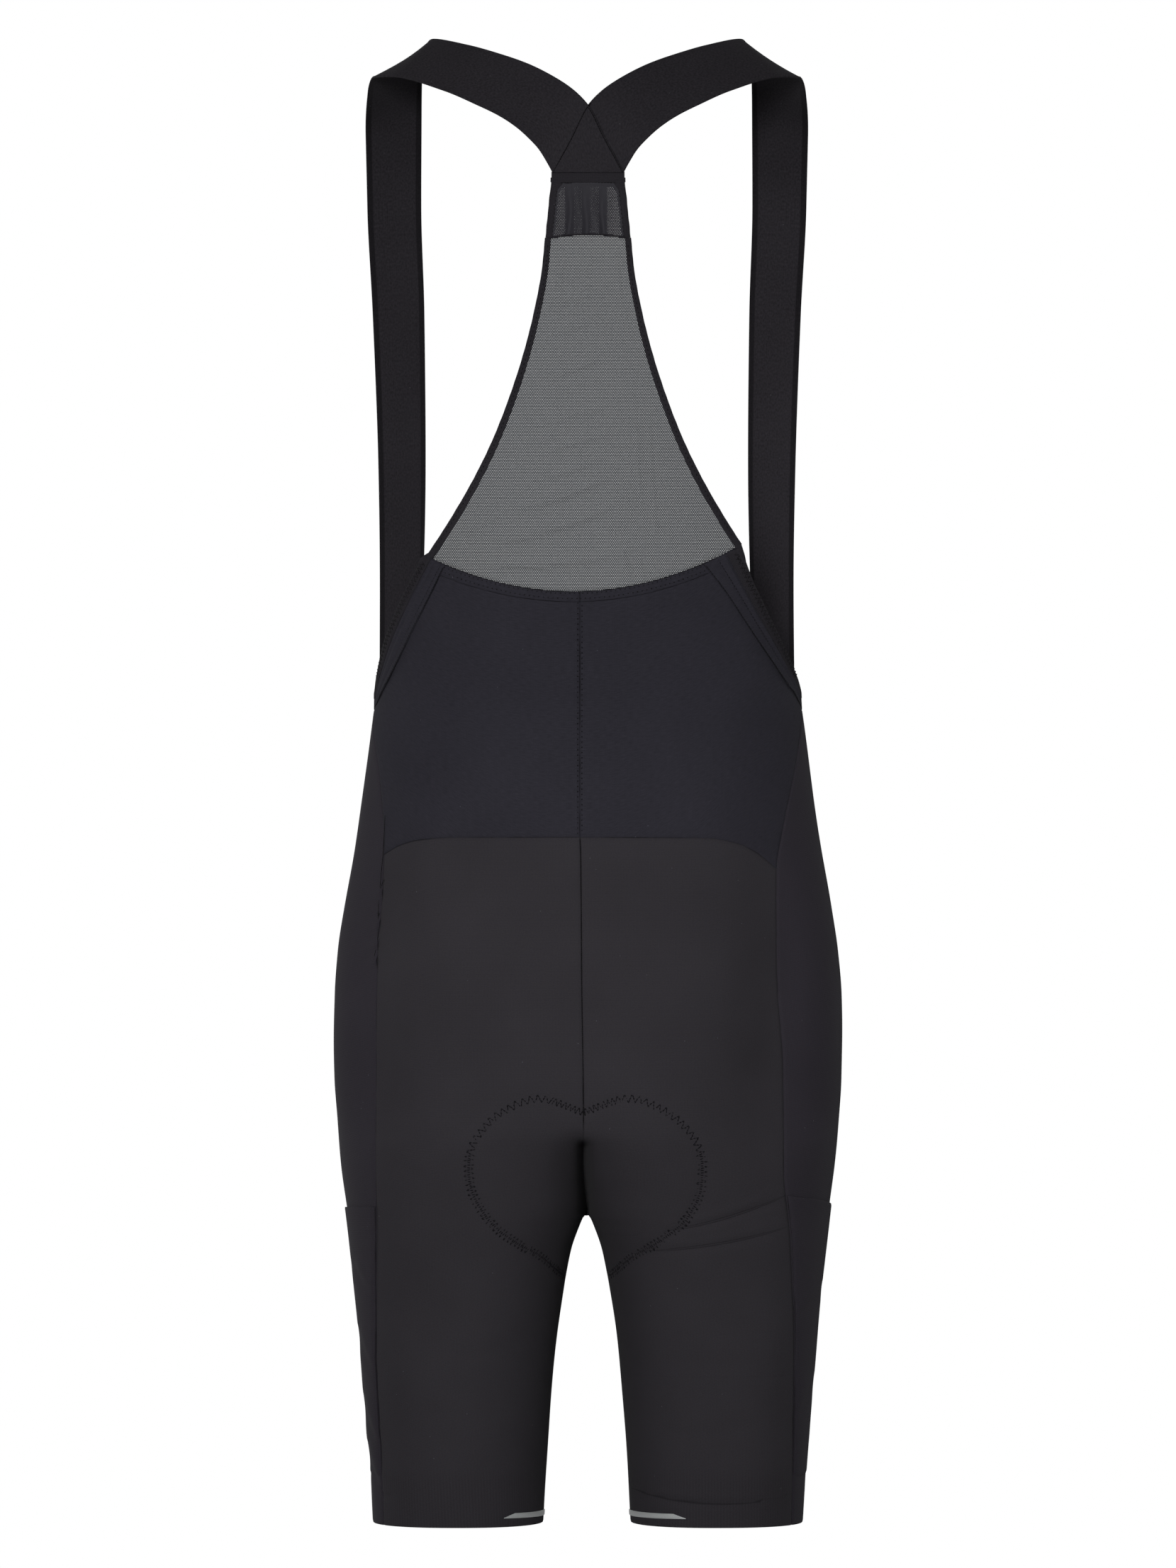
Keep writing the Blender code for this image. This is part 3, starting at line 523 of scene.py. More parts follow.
def beside(line, x, drop):
    """How far along a bowed line places lie, as a share of it, and how far off it."""
    run = np.array([line.x1 - line.x0, line.drop1 - line.drop0])
    length = np.linalg.norm(run)
    run = run / length
    beyond, below = x - line.x0, drop - line.drop0
    t = (beyond * run[0] + below * run[1]) / length
    off = (below * run[0] - beyond * run[1]) * (np.sign(run[0]) or 1)
    return t, off - line.bow * 4 * t * (1 - t)


def faded(t, power):
    """1 in the middle of a line and 0 at its ends."""
    return np.sin(np.pi * np.clip(t, 0, 1)) ** power


def pull(crease, x, drop):
    """How far this crease moves the cloth out, in millimetres, x millimetres from the middle."""
    t, off = beside(crease, x, drop)
    trough = bell(off / crease.width)
    ridge = bell((off + 1.7 * crease.width) / (1.4 * crease.width))
    return crease.depth * faded(t, 0.6) * (0.55 * ridge - trough)


def creased(side, drop, share):
    """All creases of this side, and the slight unevenness of hand-sewn cloth."""
    x = side * on_body(side, drop, share)[..., 0]
    lift = 0.14 * np.sin(x / 17 + drop / 41) + 0.12 * np.sin(drop / 13 - x / 29 + side)
    behind = np.clip((0.55 - share) / 0.06, 0, 1)
    for crease in CREASES:
        if crease.side == side:
            lift = lift + pull(crease, x, drop) * (1 - behind if crease.front else behind)
    return lift


*DRAG_FOLDS, HEM_FOLD = table(
    "x0 drop0 x1 drop1 bow",
    (50, 802.0, 134, 777.5, 3.0), (38, 815.5, 134, 799.5, 3.0), (28, 978.5, 118, 985.0, 4.0),
)


FOLDS_PART = 900        # the drop that parts the drag lines from the hem's fold


def from_fold(fold, x, drop):
    """Distance from a thin fold in millimetres, growing quickly past its ends."""
    t, off = beside(fold, x, drop)
    return np.clip(off / np.maximum(faded(t, 0.5), 0.02), -FAR, FAR)


def fold_lines(points):
    """For the right seat panel: two distances per point, from the thin folds that cross it."""
    x, drop = points[..., 0], -points[..., 2]
    hem = np.maximum(0.7 + from_fold(HEM_FOLD, x, drop) / 1.6, 0)      # one line, not a pair
    first = np.where(drop < FOLDS_PART, from_fold(DRAG_FOLDS[0], x, drop), hem)
    return np.stack([first, from_fold(DRAG_FOLDS[1], x, drop)], axis=-1)


SEAM_TURN, EDGE_TURN = (0.7, 1.3), (0.3, 0.8)       # depth and reach, in millimetres
PRESSED_TOP, PRESSED_LOW = 722, 797     # drops between which the two halves press together


def turned_in(points, sides, depth, reach):
    """A seam pulls its edges in. sides names the grid's sewn edges, such as "left top".
    In the cleft the two halves face each other, so there they press together instead."""
    across, down = distances(points, 1), distances(points, 0)
    away = {
        "left": across, "right": across[:, -1:] - across,
        "top": down, "bottom": down[-1:] - down,
    }
    dips = [bell(away[name] / reach) for name in sides.split()]
    drop = -points[..., 2]
    centred = bell((points[..., 0] + lean_at(drop)) / 4)
    begun = np.clip((drop - PRESSED_TOP) / 12, 0, 1)
    cleft = centred * begun * np.clip((PRESSED_LOW - drop) / 5, 0, 1)
    return np.max(dips, axis=0) * mix(-depth, 0.35, cleft)


print(len(CREASES), "creases placed")

# %% [markdown]
# ## Finishes
# All of this garment is black, so its materials differ in surface more than in colour: a
# matt brushed knit, a cooler jersey, ribbed elastic, polyester thread and a grey film. The
# colours are hex values as a painter would pick them, turned linear by one function, and
# one function adds a node with its settings and links.

# %% Helpers for materials
MATT = 0.02     # specular level: fibres scatter light, so cloth hardly mirrors at all


def linear(colour):
    """An sRGB hex colour as linear red, green, blue and alpha."""
    parts = [int(colour[k:k + 2], 16) / 255 for k in (1, 3, 5)]
    return (*[p / 12.92 if p <= 0.04045 else ((p + 0.055) / 1.055) ** 2.4 for p in parts], 1)


def add(tree, kind, inputs=(), out=0, **settings):
    """Adds a node with these settings and inputs, and returns one of its outputs. inputs is a
    list in the node's own order, or names or numbers them. One that is a socket gets a link.
    A Mix node's colours are its inputs 6 and 7, and its output 2."""
    node = tree.nodes.new("ShaderNode" + kind)
    for name, value in settings.items():
        setattr(node, name, value)
    for name, value in inputs.items() if isinstance(inputs, dict) else enumerate(inputs):
        if isinstance(value, bpy.types.NodeSocket):
            tree.links.new(value, node.inputs[name])
        else:
            node.inputs[name].default_value = value
    return node.outputs[out]


def new_finish(name, **shader_inputs):
    """A material, its tree and its Principled shader."""
    made = bpy.data.materials.new(name)
    made.use_nodes = True
    shader = made.node_tree.nodes["Principled BSDF"]
    for key, value in shader_inputs.items():
        shader.inputs[key.replace("_", " ")].default_value = value
    return made, made.node_tree, shader


def finished(made, tree, shader, colour, height, relief, strength):
    """Gives the shader this colour, and a bump of this height, relief millimetres deep."""
    bump = add(tree, "Bump", {"Height": height, "Distance": relief * MM, "Strength": strength})
    tree.links.new(colour, shader.inputs["Base Color"])
    tree.links.new(bump, shader.inputs["Normal"])
    return made


# %% [markdown]
# ## Knitted cloth
# A knit is columns of loops, wales, crossed by rows, courses. Real ones here are about
# 0.4 mm apart, too fine to show at this distance, so both are drawn about twice as coarse.
# Their product darkens the colour between the loops and lifts them by a tenth of a
# millimetre. Very few pale specks of lint sit on top, as on any black cloth.

# %% What sewing does to a knit
STRIPE, SPOT = math.pi / 10 / MM, 1 / MM    # scales of a wave and of a noise a millimetre wide
GRIP_TOP, GRIP_LOW = -0.962, -0.972         # where the ribbed grip at the hem fades in, metres
FOLD_SHADE, SELVEDGE_SHADE, SEAM_SHADE, LINT = map(
    linear, ("#161518", "#141315", "#131214", "#6f6f78"))


def with_grip(tree, colour, height, cloth, place, dark):
    """The ribs of the grip at the hem."""
    ribs = add(tree, "TexWave", {"Vector": cloth, "Scale": STRIPE / 2.1, "Distortion": 0.3,
                                 "Detail": 1.0, "Detail Scale": 2.0}, "Fac")
    low = add(tree, "SeparateXYZ", [place], "Z")
    low = add(tree, "MapRange", [low, GRIP_LOW, GRIP_TOP, 0.3, 0.0])
    dips = add(tree, "Math", [0.8, ribs], operation="SUBTRACT")
    dips = add(tree, "Math", [low, dips], operation="MULTIPLY")
    colour = add(tree, "Mix", {0: dips, 6: colour, 7: dark}, 2, data_type="RGBA")
    return colour, add(tree, "Math", [ribs, low, height], operation="MULTIPLY_ADD")


def with_folds(tree, colour):
    """A pair of shade lines along each thin fold."""
    for axis in "XY":
        off = add(tree, "SeparateXYZ", [add(tree, "UVMap", uv_map="fold")], axis)
        off = add(tree, "Math", [off], operation="ABSOLUTE")
        apart = add(tree, "Math", [off, 0.7 * MM], operation="SUBTRACT")
        apart = add(tree, "Math", [apart], operation="ABSOLUTE")
        line = add(tree, "MapRange", [apart, 0.12 * MM, 0.5 * MM, 0.5, 0.0])
        colour = add(tree, "Mix", {0: line, 6: colour, 7: FOLD_SHADE}, 2, data_type="RGBA")
    return colour


def with_selvedge(tree, colour, place, width):
    """The dense edges of webbing, darker only on the straps at the front."""
    edge = add(tree, "SeparateXYZ", [add(tree, "UVMap", uv_map="edge")], "X")
    dense = add(tree, "MapRange", [edge, (width - 0.5) * MM, (width + 0.2) * MM, 0.65, 0.0])
    front = add(tree, "SeparateXYZ", [place], "Y")
    front = add(tree, "MapRange", [front, 0.0, 0.05, 0.0, 1.0])
    dense = add(tree, "Math", [dense, front], operation="MULTIPLY")
    return add(tree, "Mix", {0: dense, 6: colour, 7: SELVEDGE_SHADE}, 2, data_type="RGBA")


def with_seams(tree, colour, place, strength):
    """The uneven shade line in which a seam sinks."""
    edge = add(tree, "UVMap", uv_map="edge")
    across, down = (add(tree, "SeparateXYZ", [edge], axis) for axis in "XY")
    away = add(tree, "Math", [across, down], operation="MINIMUM")
    line = add(tree, "MapRange", [away, 0.25 * MM, 0.7 * MM, 1.0, 0.0])
    drawn = add(tree, "TexNoise", {"Vector": place, "Scale": SPOT / 22, "Detail": 1.0}, "Fac")
    drawn = add(tree, "MapRange", [drawn, 0.4, 0.6, 0.25 * strength, strength])
    line = add(tree, "Math", [line, drawn], operation="MULTIPLY")
    return add(tree, "Mix", {0: line, 6: colour, 7: SEAM_SHADE}, 2, data_type="RGBA")


# %% Knits
def knit(name, light, dark, wale=1.0, course=1.15, relief=0.10, grain=0.55, slub=(1, 1),
         weave=0.8, grip=False, folded=False, selvedge=0.0, seamed=0.0, roughness=0.9,
         sheen=0.015, sheen_roughness=0.5):
    """A knit or woven cloth in two tones of one yarn. slub stretches its unevenness along the
    yarn and weave is how clearly its loops show. The next four say what sewing adds to it."""
    made, tree, shader = new_finish(
        name, Specular_IOR_Level=MATT, Roughness=roughness, Sheen_Weight=sheen,
        Sheen_Roughness=sheen_roughness)
    light, dark = linear(light), linear(dark)
    cloth, place = add(tree, "UVMap", uv_map="cloth"), add(tree, "TexCoord", out="Object")
    wales, courses = (
        add(tree, "TexWave", {"Vector": cloth, "Scale": STRIPE / pitch, "Distortion": uneven,
                              "Detail": 1.0, "Detail Scale": 2.0}, "Fac", bands_direction=axis)
        for axis, pitch, uneven in (("X", wale, 1.5), ("Y", course, 1.8)))
    loops = add(tree, "Math", [courses, 0.5], operation="MULTIPLY")
    loops = add(tree, "Math", [wales, 0.5, loops], operation="MULTIPLY_ADD")
    loops = add(tree, "Math", [loops, weave], operation="MULTIPLY")
    yarn = add(tree, "VectorMath", [cloth, (1 / slub[0], 1 / slub[1], 1)], operation="MULTIPLY")
    fuzz = add(tree, "TexNoise", {"Vector": yarn, "Scale": SPOT / 0.9, "Detail": 3.0}, "Fac")
    cloud = add(tree, "TexNoise", {"Vector": place, "Scale": SPOT / 60, "Detail": 3.0}, "Fac")
    height = add(tree, "Math", [fuzz, 1.2, loops], operation="MULTIPLY_ADD")
    tone = 0.325 - grain / 2
    for pattern, weight in ((cloud, 0.35), (fuzz, grain), (loops, 0.22)):
        tone = add(tree, "Math", [pattern, weight, tone], operation="MULTIPLY_ADD")
    colour = add(tree, "Mix", {0: tone, 6: dark, 7: light}, 2, data_type="RGBA")
    if grip:
        colour, height = with_grip(tree, colour, height, cloth, place, dark)
    if folded:
        colour = with_folds(tree, colour)
    if selvedge:
        colour = with_selvedge(tree, colour, place, selvedge)
    if seamed:
        colour = with_seams(tree, colour, place, seamed)
    # a speck about every 13 mm, a third of a millimetre in radius
    speck = add(tree, "TexVoronoi", {"Vector": place, "Scale": 75.0}, "Distance")
    speck = add(tree, "Math", [speck, 0.024], operation="LESS_THAN")
    speck = add(tree, "Math", [speck, 0.35], operation="MULTIPLY")
    colour = add(tree, "Mix", {0: speck, 6: colour, 7: LINT}, 2, data_type="RGBA")
    return finished(made, tree, shader, colour, height, relief, 0.8)


# Nylon and elastane warp knit, brushed inside: matt, with a soft light nap at its edges.
SHELL_KNIT = knit("warp_knit_nylon_elastane", "#39373b", "#232124", grip=True, folded=True,
                  seamed=0.55)
# Lighter jersey of the waist: cooler, its courses show as fine level lines.
WAIST_JERSEY = knit("fine_jersey_cool_black", "#34333a", "#1d1c21", wale=1.1, course=0.95,
                    relief=0.14, grain=0.8, slub=(5, 0.9), weave=0.6, seamed=0.75)
# Smooth-faced knit of the sides and pockets: a little bluer, a trace glossier.
SIDE_JERSEY = knit("smooth_jersey_blue_black", "#363339", "#222025", wale=1.2, course=1.5,
                   relief=0.08, grip=True, seamed=0.45, roughness=0.85, sheen=0.02,
                   sheen_roughness=0.45)
# Woven elastic of the straps: close ribs along its length, warmer and darker than the knit.
STRAP_ELASTIC = knit("ribbed_woven_elastic", "#343236", "#1a181b", wale=1.5, course=1.2,
                     relief=0.12, grain=1.2, slub=(1.3, 2.0), weave=0.3, selvedge=4.2,
                     roughness=0.85)
# Folded binding: soft knitted elastic, with short ribs across it.
EDGE_ELASTIC = knit("knitted_elastic_binding", "#302e32", "#19181b", wale=1.3, course=1.3,
                    relief=0.16, roughness=0.88)
# Brushed face of the foam pad: dull and very even.
PAD_FACE = knit("brushed_pad_fleece", "#434248", "#2c2b30", wale=1.6, course=1.6,
                relief=0.2, roughness=0.95, sheen=0.1, sheen_roughness=0.6)


# %% Yarn, thread and film
def plain(name, colour, roughness, specular):
    return new_finish(name, Base_Color=linear(colour), Roughness=roughness,
                      Specular_IOR_Level=specular)[0]


# Dyed polyester monofilament of the net: thin, so light passes into it and it looks greyer
# than the cloth. Where two layers lie together it looks as dark as they do. These are lit and
# shaded copies of one yarn: the single layer's greyer colour is painted light passing through
# it, and the doubled layer's darker colour is painted shade.
NET_YARN = plain("polyester_net_yarn", "#494b4e", 0.65, 0.1)
SHADED_DOUBLED_YARN = plain("polyester_net_yarn_doubled_painted_shade", "#2f2e33", 0.65, 0.1)
# Spun polyester sewing thread: nearly black, smoother than the cloth round it. The thread
# is black like the cloth; its colour is painted darker still, as painted shade of the
# stitches and of the needle holes drawn with it.
SHADED_THREAD = plain("spun_polyester_thread_painted_shade", "#0b0a0c", 0.6, 0.1)
# Textured thread of the pad's zigzag: a little paler, and it sinks into the cloth. Its dark
# colour is painted shade of the stitches in their trough.
SHADED_SOFT_THREAD = plain("textured_polyester_thread_painted_shade", "#151417", 0.8, 0.05)


def reflective_film():
    """Heat-bonded film of glass beads: flat mid grey in plain light, with a fine sparkle."""
    made, tree, shader = new_finish("glass_bead_reflective_film", Roughness=0.42,
                                    Specular_IOR_Level=0.5, Metallic=0.25)
    place = add(tree, "TexCoord", out="Object")
    beads = add(tree, "TexNoise", {"Vector": place, "Scale": SPOT / 0.35, "Detail": 1.0}, "Fac")
    dull, bright = linear("#a0a3a2"), linear("#c2c5c5")
    colour = add(tree, "Mix", {0: beads, 6: dull, 7: bright}, 2, data_type="RGBA")
    return finished(made, tree, shader, colour, beads, 0.03, 0.5)


FILM_FACE = reflective_film()
print("finishes:", [made.name for made in bpy.data.materials if made.use_nodes])

# %% [markdown]
# ## The foam pad's outline
# The pad is sewn inside with one zigzag row, which shows on the seat as a rounded heart. The
# row draws the cloth down into a soft trough. So the outline comes before the seat panels:
# their grid takes the trough from it, and later the stitches follow it.

# %% The outline of the pad
PAD_BACK = table(
    "seam x drop",
    (722, 30.0, 712.5), (730, 55.4, 722), (738, 67.9, 733), (747, 75.5, 745),
    (756, 77.8, 759), (765, 76.5, 773), (774, 70.0, 788), (782, 59.0, 801),
    (788, 46.0, 810.5), (793.5, 31.0, 819.5),
)
PAD_NOTCH, PAD_LOW = 722.0, 836.0


def pad_outline(count):
    """Shares and drops along the outline of one half, from the notch to the inseam."""
    xs = np.array([0.0] + [edge.x for edge in PAD_BACK] + [float(gap_at(PAD_LOW))])
    drops = np.array([PAD_NOTCH] + [edge.drop for edge in PAD_BACK] + [PAD_LOW])
    far = run_of(np.stack([xs, drops], axis=1))
    places = np.linspace(0, far[-1], count)
    xs, drops = smooth(far, xs)(places), smooth(far, drops)(places)
    return np.array([share_of(drop, x) for drop, x in zip(drops, xs)]), drops


PAD_LINE = pad_outline(170)
PAD_REACH = (690, 860)      # drops between which cloth can lie near the pad's outline


def pad_pull(side, points):
    """The trough along the pad's stitches and the slight fullness of the pad inside it."""
    shares, drops = PAD_LINE
    line = on_body(side, drops, shares)
    gap = np.full(points.shape[:-1], np.inf)
    close = (points[..., 2] < -PAD_REACH[0]) & (points[..., 2] > -PAD_REACH[1])
    gap[close] = np.linalg.norm(points[close][:, None] - line, axis=-1).min(axis=-1)
    x = side * points[..., 0]
    fullness = 0.6 * bell((x - 40) / 26) * bell((-points[..., 2] - 768) / 36)
    return fullness - 0.7 * bell(gap / 3.2)


def on_cloth(side, drop, share, lift=0.0, back=True):
    """A place on the sewn cloth with its creases, and the direction straight out of it."""
    drop, share = np.broadcast_arrays(np.asarray(drop, float), np.asarray(share, float))
    step = 1 / half_girth(drop)
    form = seat_form if back else np.copy
    round_body = form(on_body(side, drop, share + step)) - form(on_body(side, drop, share - step))
    down = form(on_body(side, drop + 1, share)) - form(on_body(side, drop - 1, share))
    out = side * unit(np.cross(down, round_body))
    points = on_body(side, drop, share)
    raised = creased(side, drop, share) + lift
    if back:
        raised = raised + pad_pull(side, points)
    return form(points) + out * raised[..., None], out


# %% [markdown]
# ## Seat and waist panels
# The seat panels carry the back of both legs: a maker cuts each in one piece from the waist
# seam to the hem, so they are one grid each. Above them lie the waist panels, which end in a
# curved seam under the net and in the slanted armholes.

# %% One function for all panels
def rows_between(top, bottom, step):
    return mix(top, bottom, crowded(bottom - top, step))


def add_panel(part, side, place, finish, slot, turns, raised=None, thickness=CLOTH, shape=None,
              from_last=False, folds=None, **more):
    """Lays a panel and prints its cut. place holds its drops and shares, turns says which of its
    edges are turned in and how far, and raised(side, points) lifts it besides its creases."""
    name = f"{part}_{SIDES[side]}"
    points = on_body(side, *place)
    lift = creased(side, *place) + sum(
        turned_in(points, edges, *turn) for edges, turn in turns.items())
    if raised:
        lift = lift + raised(side, points)
    if shape:
        points = shape(points)
    panel = lay(name, points, side, finish, thickness, lift, name, from_last,
                folds(points) if folds else None)
    return cut_of(panel, points, **more)


# %% Seat panels
def seat_place(side, u, row_drop):
    fade = np.maximum(0, 1 - (row_drop - WAIST_SEAM) / WAIST_FADE)
    drop = row_drop + (waist_drop[side](u) - WAIST_SEAM + SEAM / 2) * fade
    first = seam_share(drop)
    return drop, mix(first, back_seam(side, drop) - first, u)


for side in SIDES:
    grid = np.meshgrid(crowded(170, 2.3), rows_between(WAIST_SEAM, HEM, 2.3))
    add_panel("seat_panel", side, seat_place(side, *grid), SHELL_KNIT, "shell_knit",
              {"left right top": SEAM_TURN, "bottom": EDGE_TURN}, raised=pad_pull,
              shape=seat_form, from_last=True, folds=fold_lines if side == RIGHT else None)


# %% Waist panels
def net_seam_drop(x):
    """Drop of the seam under the net; x is signed, the wearer's right is plus."""
    return NET_LOW - NET_CURVE * (x - NET_SHIFT) ** 2


def waist_top(side, u):
    top = np.full(np.shape(u), NET_LOW)
    for _ in range(SETTLE):
        top = net_seam_drop(on_body(side, top, back_seam(side, top) * u)[..., 0])
    return top


def waist_place(side, u, v):
    drop = mix(waist_top(side, u) + SEAM / 2, waist_drop[side](u) - SEAM / 2, v)
    first = seam_share(drop)
    return drop, mix(first, back_seam(side, drop) - 2 * first, u)


for side in SIDES:
    grid = np.meshgrid(crowded(140, 2.8), crowded(165, 2.8))
    add_panel("waist_panel", side, waist_place(side, *grid), WAIST_JERSEY, "waist_jersey",
              {"left right bottom": SEAM_TURN, "top": (0.3, 0.7)})

# %% [markdown]
# ## Sides, fronts and pockets
# The side panels run from the armhole to the hem between two seams. The pocket is a second
# layer on the thigh, open at its mouth, so it is laid from the same rows a millimetre
# further out. The fronts close the form and dip a little at the centre.

# %% Side panels and pockets
POCKET_MOUTH = {LEFT: (786.0, 793.0), RIGHT: (778.0, 797.0)}    # drops at the back and front
POCKET_BOTTOM = 970.0
POCKET_INSET = 0.006
POCKET_LIFT = 1.15


def side_place(side, u, drop):
    first = seam_share(drop)
    return drop, mix(back_seam(side, drop) + first, front_seam(drop) - first, u)


def seam_puckers(side, points):
    """Small bulges where the overlock gathers the left side panel beside the seat."""
    drop, lift = -points[..., 2], 0.0
    for at in (571.0, 592.0, 606.0, 617.0) if side == LEFT else ():
        along = bell((drop - at - 5) / 4.2) - 0.9 * bell((drop - at) / 2.0)
        lift = lift + 1.3 * along * bell(distances(points, 1) / 7)
    return lift


for side in SIDES:
    grid = np.meshgrid(crowded(90, 3.0), rows_between(ARMHOLE_LOW + SEAM, HEM, 2.7))
    add_panel("side_panel", side, side_place(side, *grid), SIDE_JERSEY, "side_jersey",
              {"left right": SEAM_TURN, "top bottom": EDGE_TURN}, raised=seam_puckers)
    u, v = np.meshgrid(mix(POCKET_INSET, 1 - POCKET_INSET, crowded(95, 2.6)), crowded(180, 2.6))
    mouth = mix(*POCKET_MOUTH[side], u)
    slack = 0.5 * bell((u - 0.35) / 0.3) * bell((v - 0.1) / 0.25)
    stands_off = POCKET_LIFT * (1 - 0.5 * np.clip((v - 0.85) / 0.15, 0, 1)) + slack
    add_panel("leg_pocket", side, side_place(side, u, mix(mouth, POCKET_BOTTOM, v)),
              SIDE_JERSEY, "side_jersey",
              {"left right": (0.8, 2.0), "bottom": (0.6, 1.6), "top": (0.25, 0.7)},
              raised=lambda side, points: stands_off, thickness=LAYER,
              rests_on=[f"side_panel_{SIDES[side]}"])


# %% Front panels
def front_place(u, drop):
    fade = np.maximum(0, 1 - (drop - ARMHOLE_LOW) / WAIST_FADE)
    lowered = drop + FRONT_DIP * u * u * fade
    first = seam_share(lowered)
    return lowered, mix(front_seam(lowered) + first, 1 - first, u)


for side in SIDES:
    grid = np.meshgrid(crowded(165, 3.0), rows_between(ARMHOLE_LOW + SEAM, HEM, 2.8))
    add_panel("front_panel", side, front_place(*grid), SHELL_KNIT, "shell_knit",
              {"left right": SEAM_TURN, "top bottom": EDGE_TURN})

# %% [markdown]
# ## Straps
# The straps are woven elastic, 38 mm wide, with a selvedge along both edges. A strap rises
# from the front, turns over the shoulder and crosses to the yoke. Its two edges are smooth
# curves through a short list of places, and the webbing is ruled between them. The right
# strap passes under the left one where they meet.

# %% The edges of a strap
FRONT_STRAP = table(
    "neck_x neck_y neck_drop arm_x arm_y arm_drop",
    (112.1, 80, 380, 140.7, 52, 385), (110.6, 103, 285, 142.8, 83, 285),
    (111.6, 107, 180, 146.9, 93, 180), (113.6, 95, 108, 150.6, 87, 108),
    (113.0, 72, 56, 151.2, 64, 60), (111.8, 40, 20, 148.6, 22, 34.5),
    (108.6, 17, 5.5, 144.0, 0.5, 26),
)
BACK_STRAP = table(
    "neck_x neck_drop arm_x arm_drop",
    (103.4, 0.0, 130.0, 27.0), (78.4, 6.5, 95.8, 38.6), (58.0, 13.6, 74.5, 49.0),
    (40.6, 20.7, 59.5, 57.0), (23.5, 30.0, 48.0, 65.0), (9.0, 40.3, 39.5, 72.8),
    (-1.5, 52.0, 33.0, 80.0), (-11.5, 72.0, 28.0, 88.0), (-24.3, 95.6, 23.8, 95.6),
)
STRAP_FRONT_X = (119.5, 140.4)
STRAP_LAP, STRAP_SHIFT = 2.2, 0.8
SHOULDER_SLOPE, SHOULDER_X, SHOULDER_BACK, SHOULDER_REACH = 0.6, 104.4, 98.0, 150.0
LAP_PLACE = 5           # the lap is complete this many places before the yoke
SELVEDGE = 3.4


def shoulder_y(x, drop):
    line = SHOULDER_SLOPE * (np.abs(x) - SHOULDER_X)
    fall = np.clip((drop - line) / SHOULDER_REACH, 0, 1)
    return -SHOULDER_BACK * (1 - (1 - fall) ** 2) ** 0.8


def strap_stations():
    """The neck and arm edges of the right strap as rows of x, y and z."""
    low = np.array(ARMHOLE_LOW)
    rows = [[on_body(RIGHT, low, share_of(ARMHOLE_LOW, x, front=True)) + (0, 0, SEAM)
             for x in STRAP_FRONT_X]]
    rows += [[row[:3], row[3:]] for row in FRONT_STRAP]
    rows += [[(x, shoulder_y(x, drop), drop) for x, drop in (row[:2], row[2:])]
             for row in BACK_STRAP]
    stations = np.array(rows)
    stations[1:, :, 2] *= -1        # the tables' drops become heights
    return stations


stations = strap_stations()
strap_run = run_of(stations.mean(axis=1))
STRAP_LENGTH, strap_places = strap_run[-1], strap_run / strap_run[-1]
NECK_EDGE, ARM_EDGE = (
    [smooth(strap_places, stations[:, edge, axis]) for axis in range(3)] for edge in (0, 1))
SHOULDER_T, LAP_T = strap_places[len(FRONT_STRAP) + 1], strap_places[-LAP_PLACE]


# %% Straps
def on_strap(side, t, w):
    """Points of a strap's outer face; t runs up from the front, w from neck edge to arm edge."""
    t, w = np.broadcast_arrays(t, w)
    x, y, z = (mix(neck(t), arm(t), w) for neck, arm in zip(NECK_EDGE, ARM_EDGE))
    y = np.where(t > SHOULDER_T, shoulder_y(x, -z), y)
    under = np.clip((t - SHOULDER_T) / (LAP_T - SHOULDER_T), 0, 1)
    under = under ** 2 * (3 - 2 * under)
    if side == RIGHT:
        y = y + STRAP_LAP * under
    return np.stack([side * x - STRAP_SHIFT * (1 - under), y, z], axis=-1)


for side in SIDES:
    name = f"strap_{SIDES[side]}"
    t, w = crowded(STRAP_LENGTH, 3.0)[:, None], crowded(36, 1.6)[None, :]
    points = on_strap(side, t, w)
    across, along = distances(points, 1), distances(points, 0)
    edge = np.minimum(across, across[:, -1:] - across)
    lift = (-0.22 * bell((edge - SELVEDGE) / 0.45) - 0.5 * bell(edge / 0.5)
            + 0.18 * np.sin(along / 31 + side) * np.sin(across / 9))
    strap = lay(name, points, -side, STRAP_ELASTIC, WEBBING, lift, name)
    cut_of(strap, points)

# %% [markdown]
# ## The net
# The upper back is a hexagonal net of fine bars. Its holes are real here: a grid whose odd
# rows are shifted by half a cell, cut into triangles, has six neighbours at every point, and
# a bevel of its points opens a six-sided hole at each. The real holes are about a millimetre
# apart, which just shows, so the size is kept. The net is laid flat first, then put on the
# back, a little narrower at the yoke, where it is gathered.

# %% Making net
PITCH, HOLE = 1.18, 0.2
ROW_RISE = math.sqrt(3) / 2


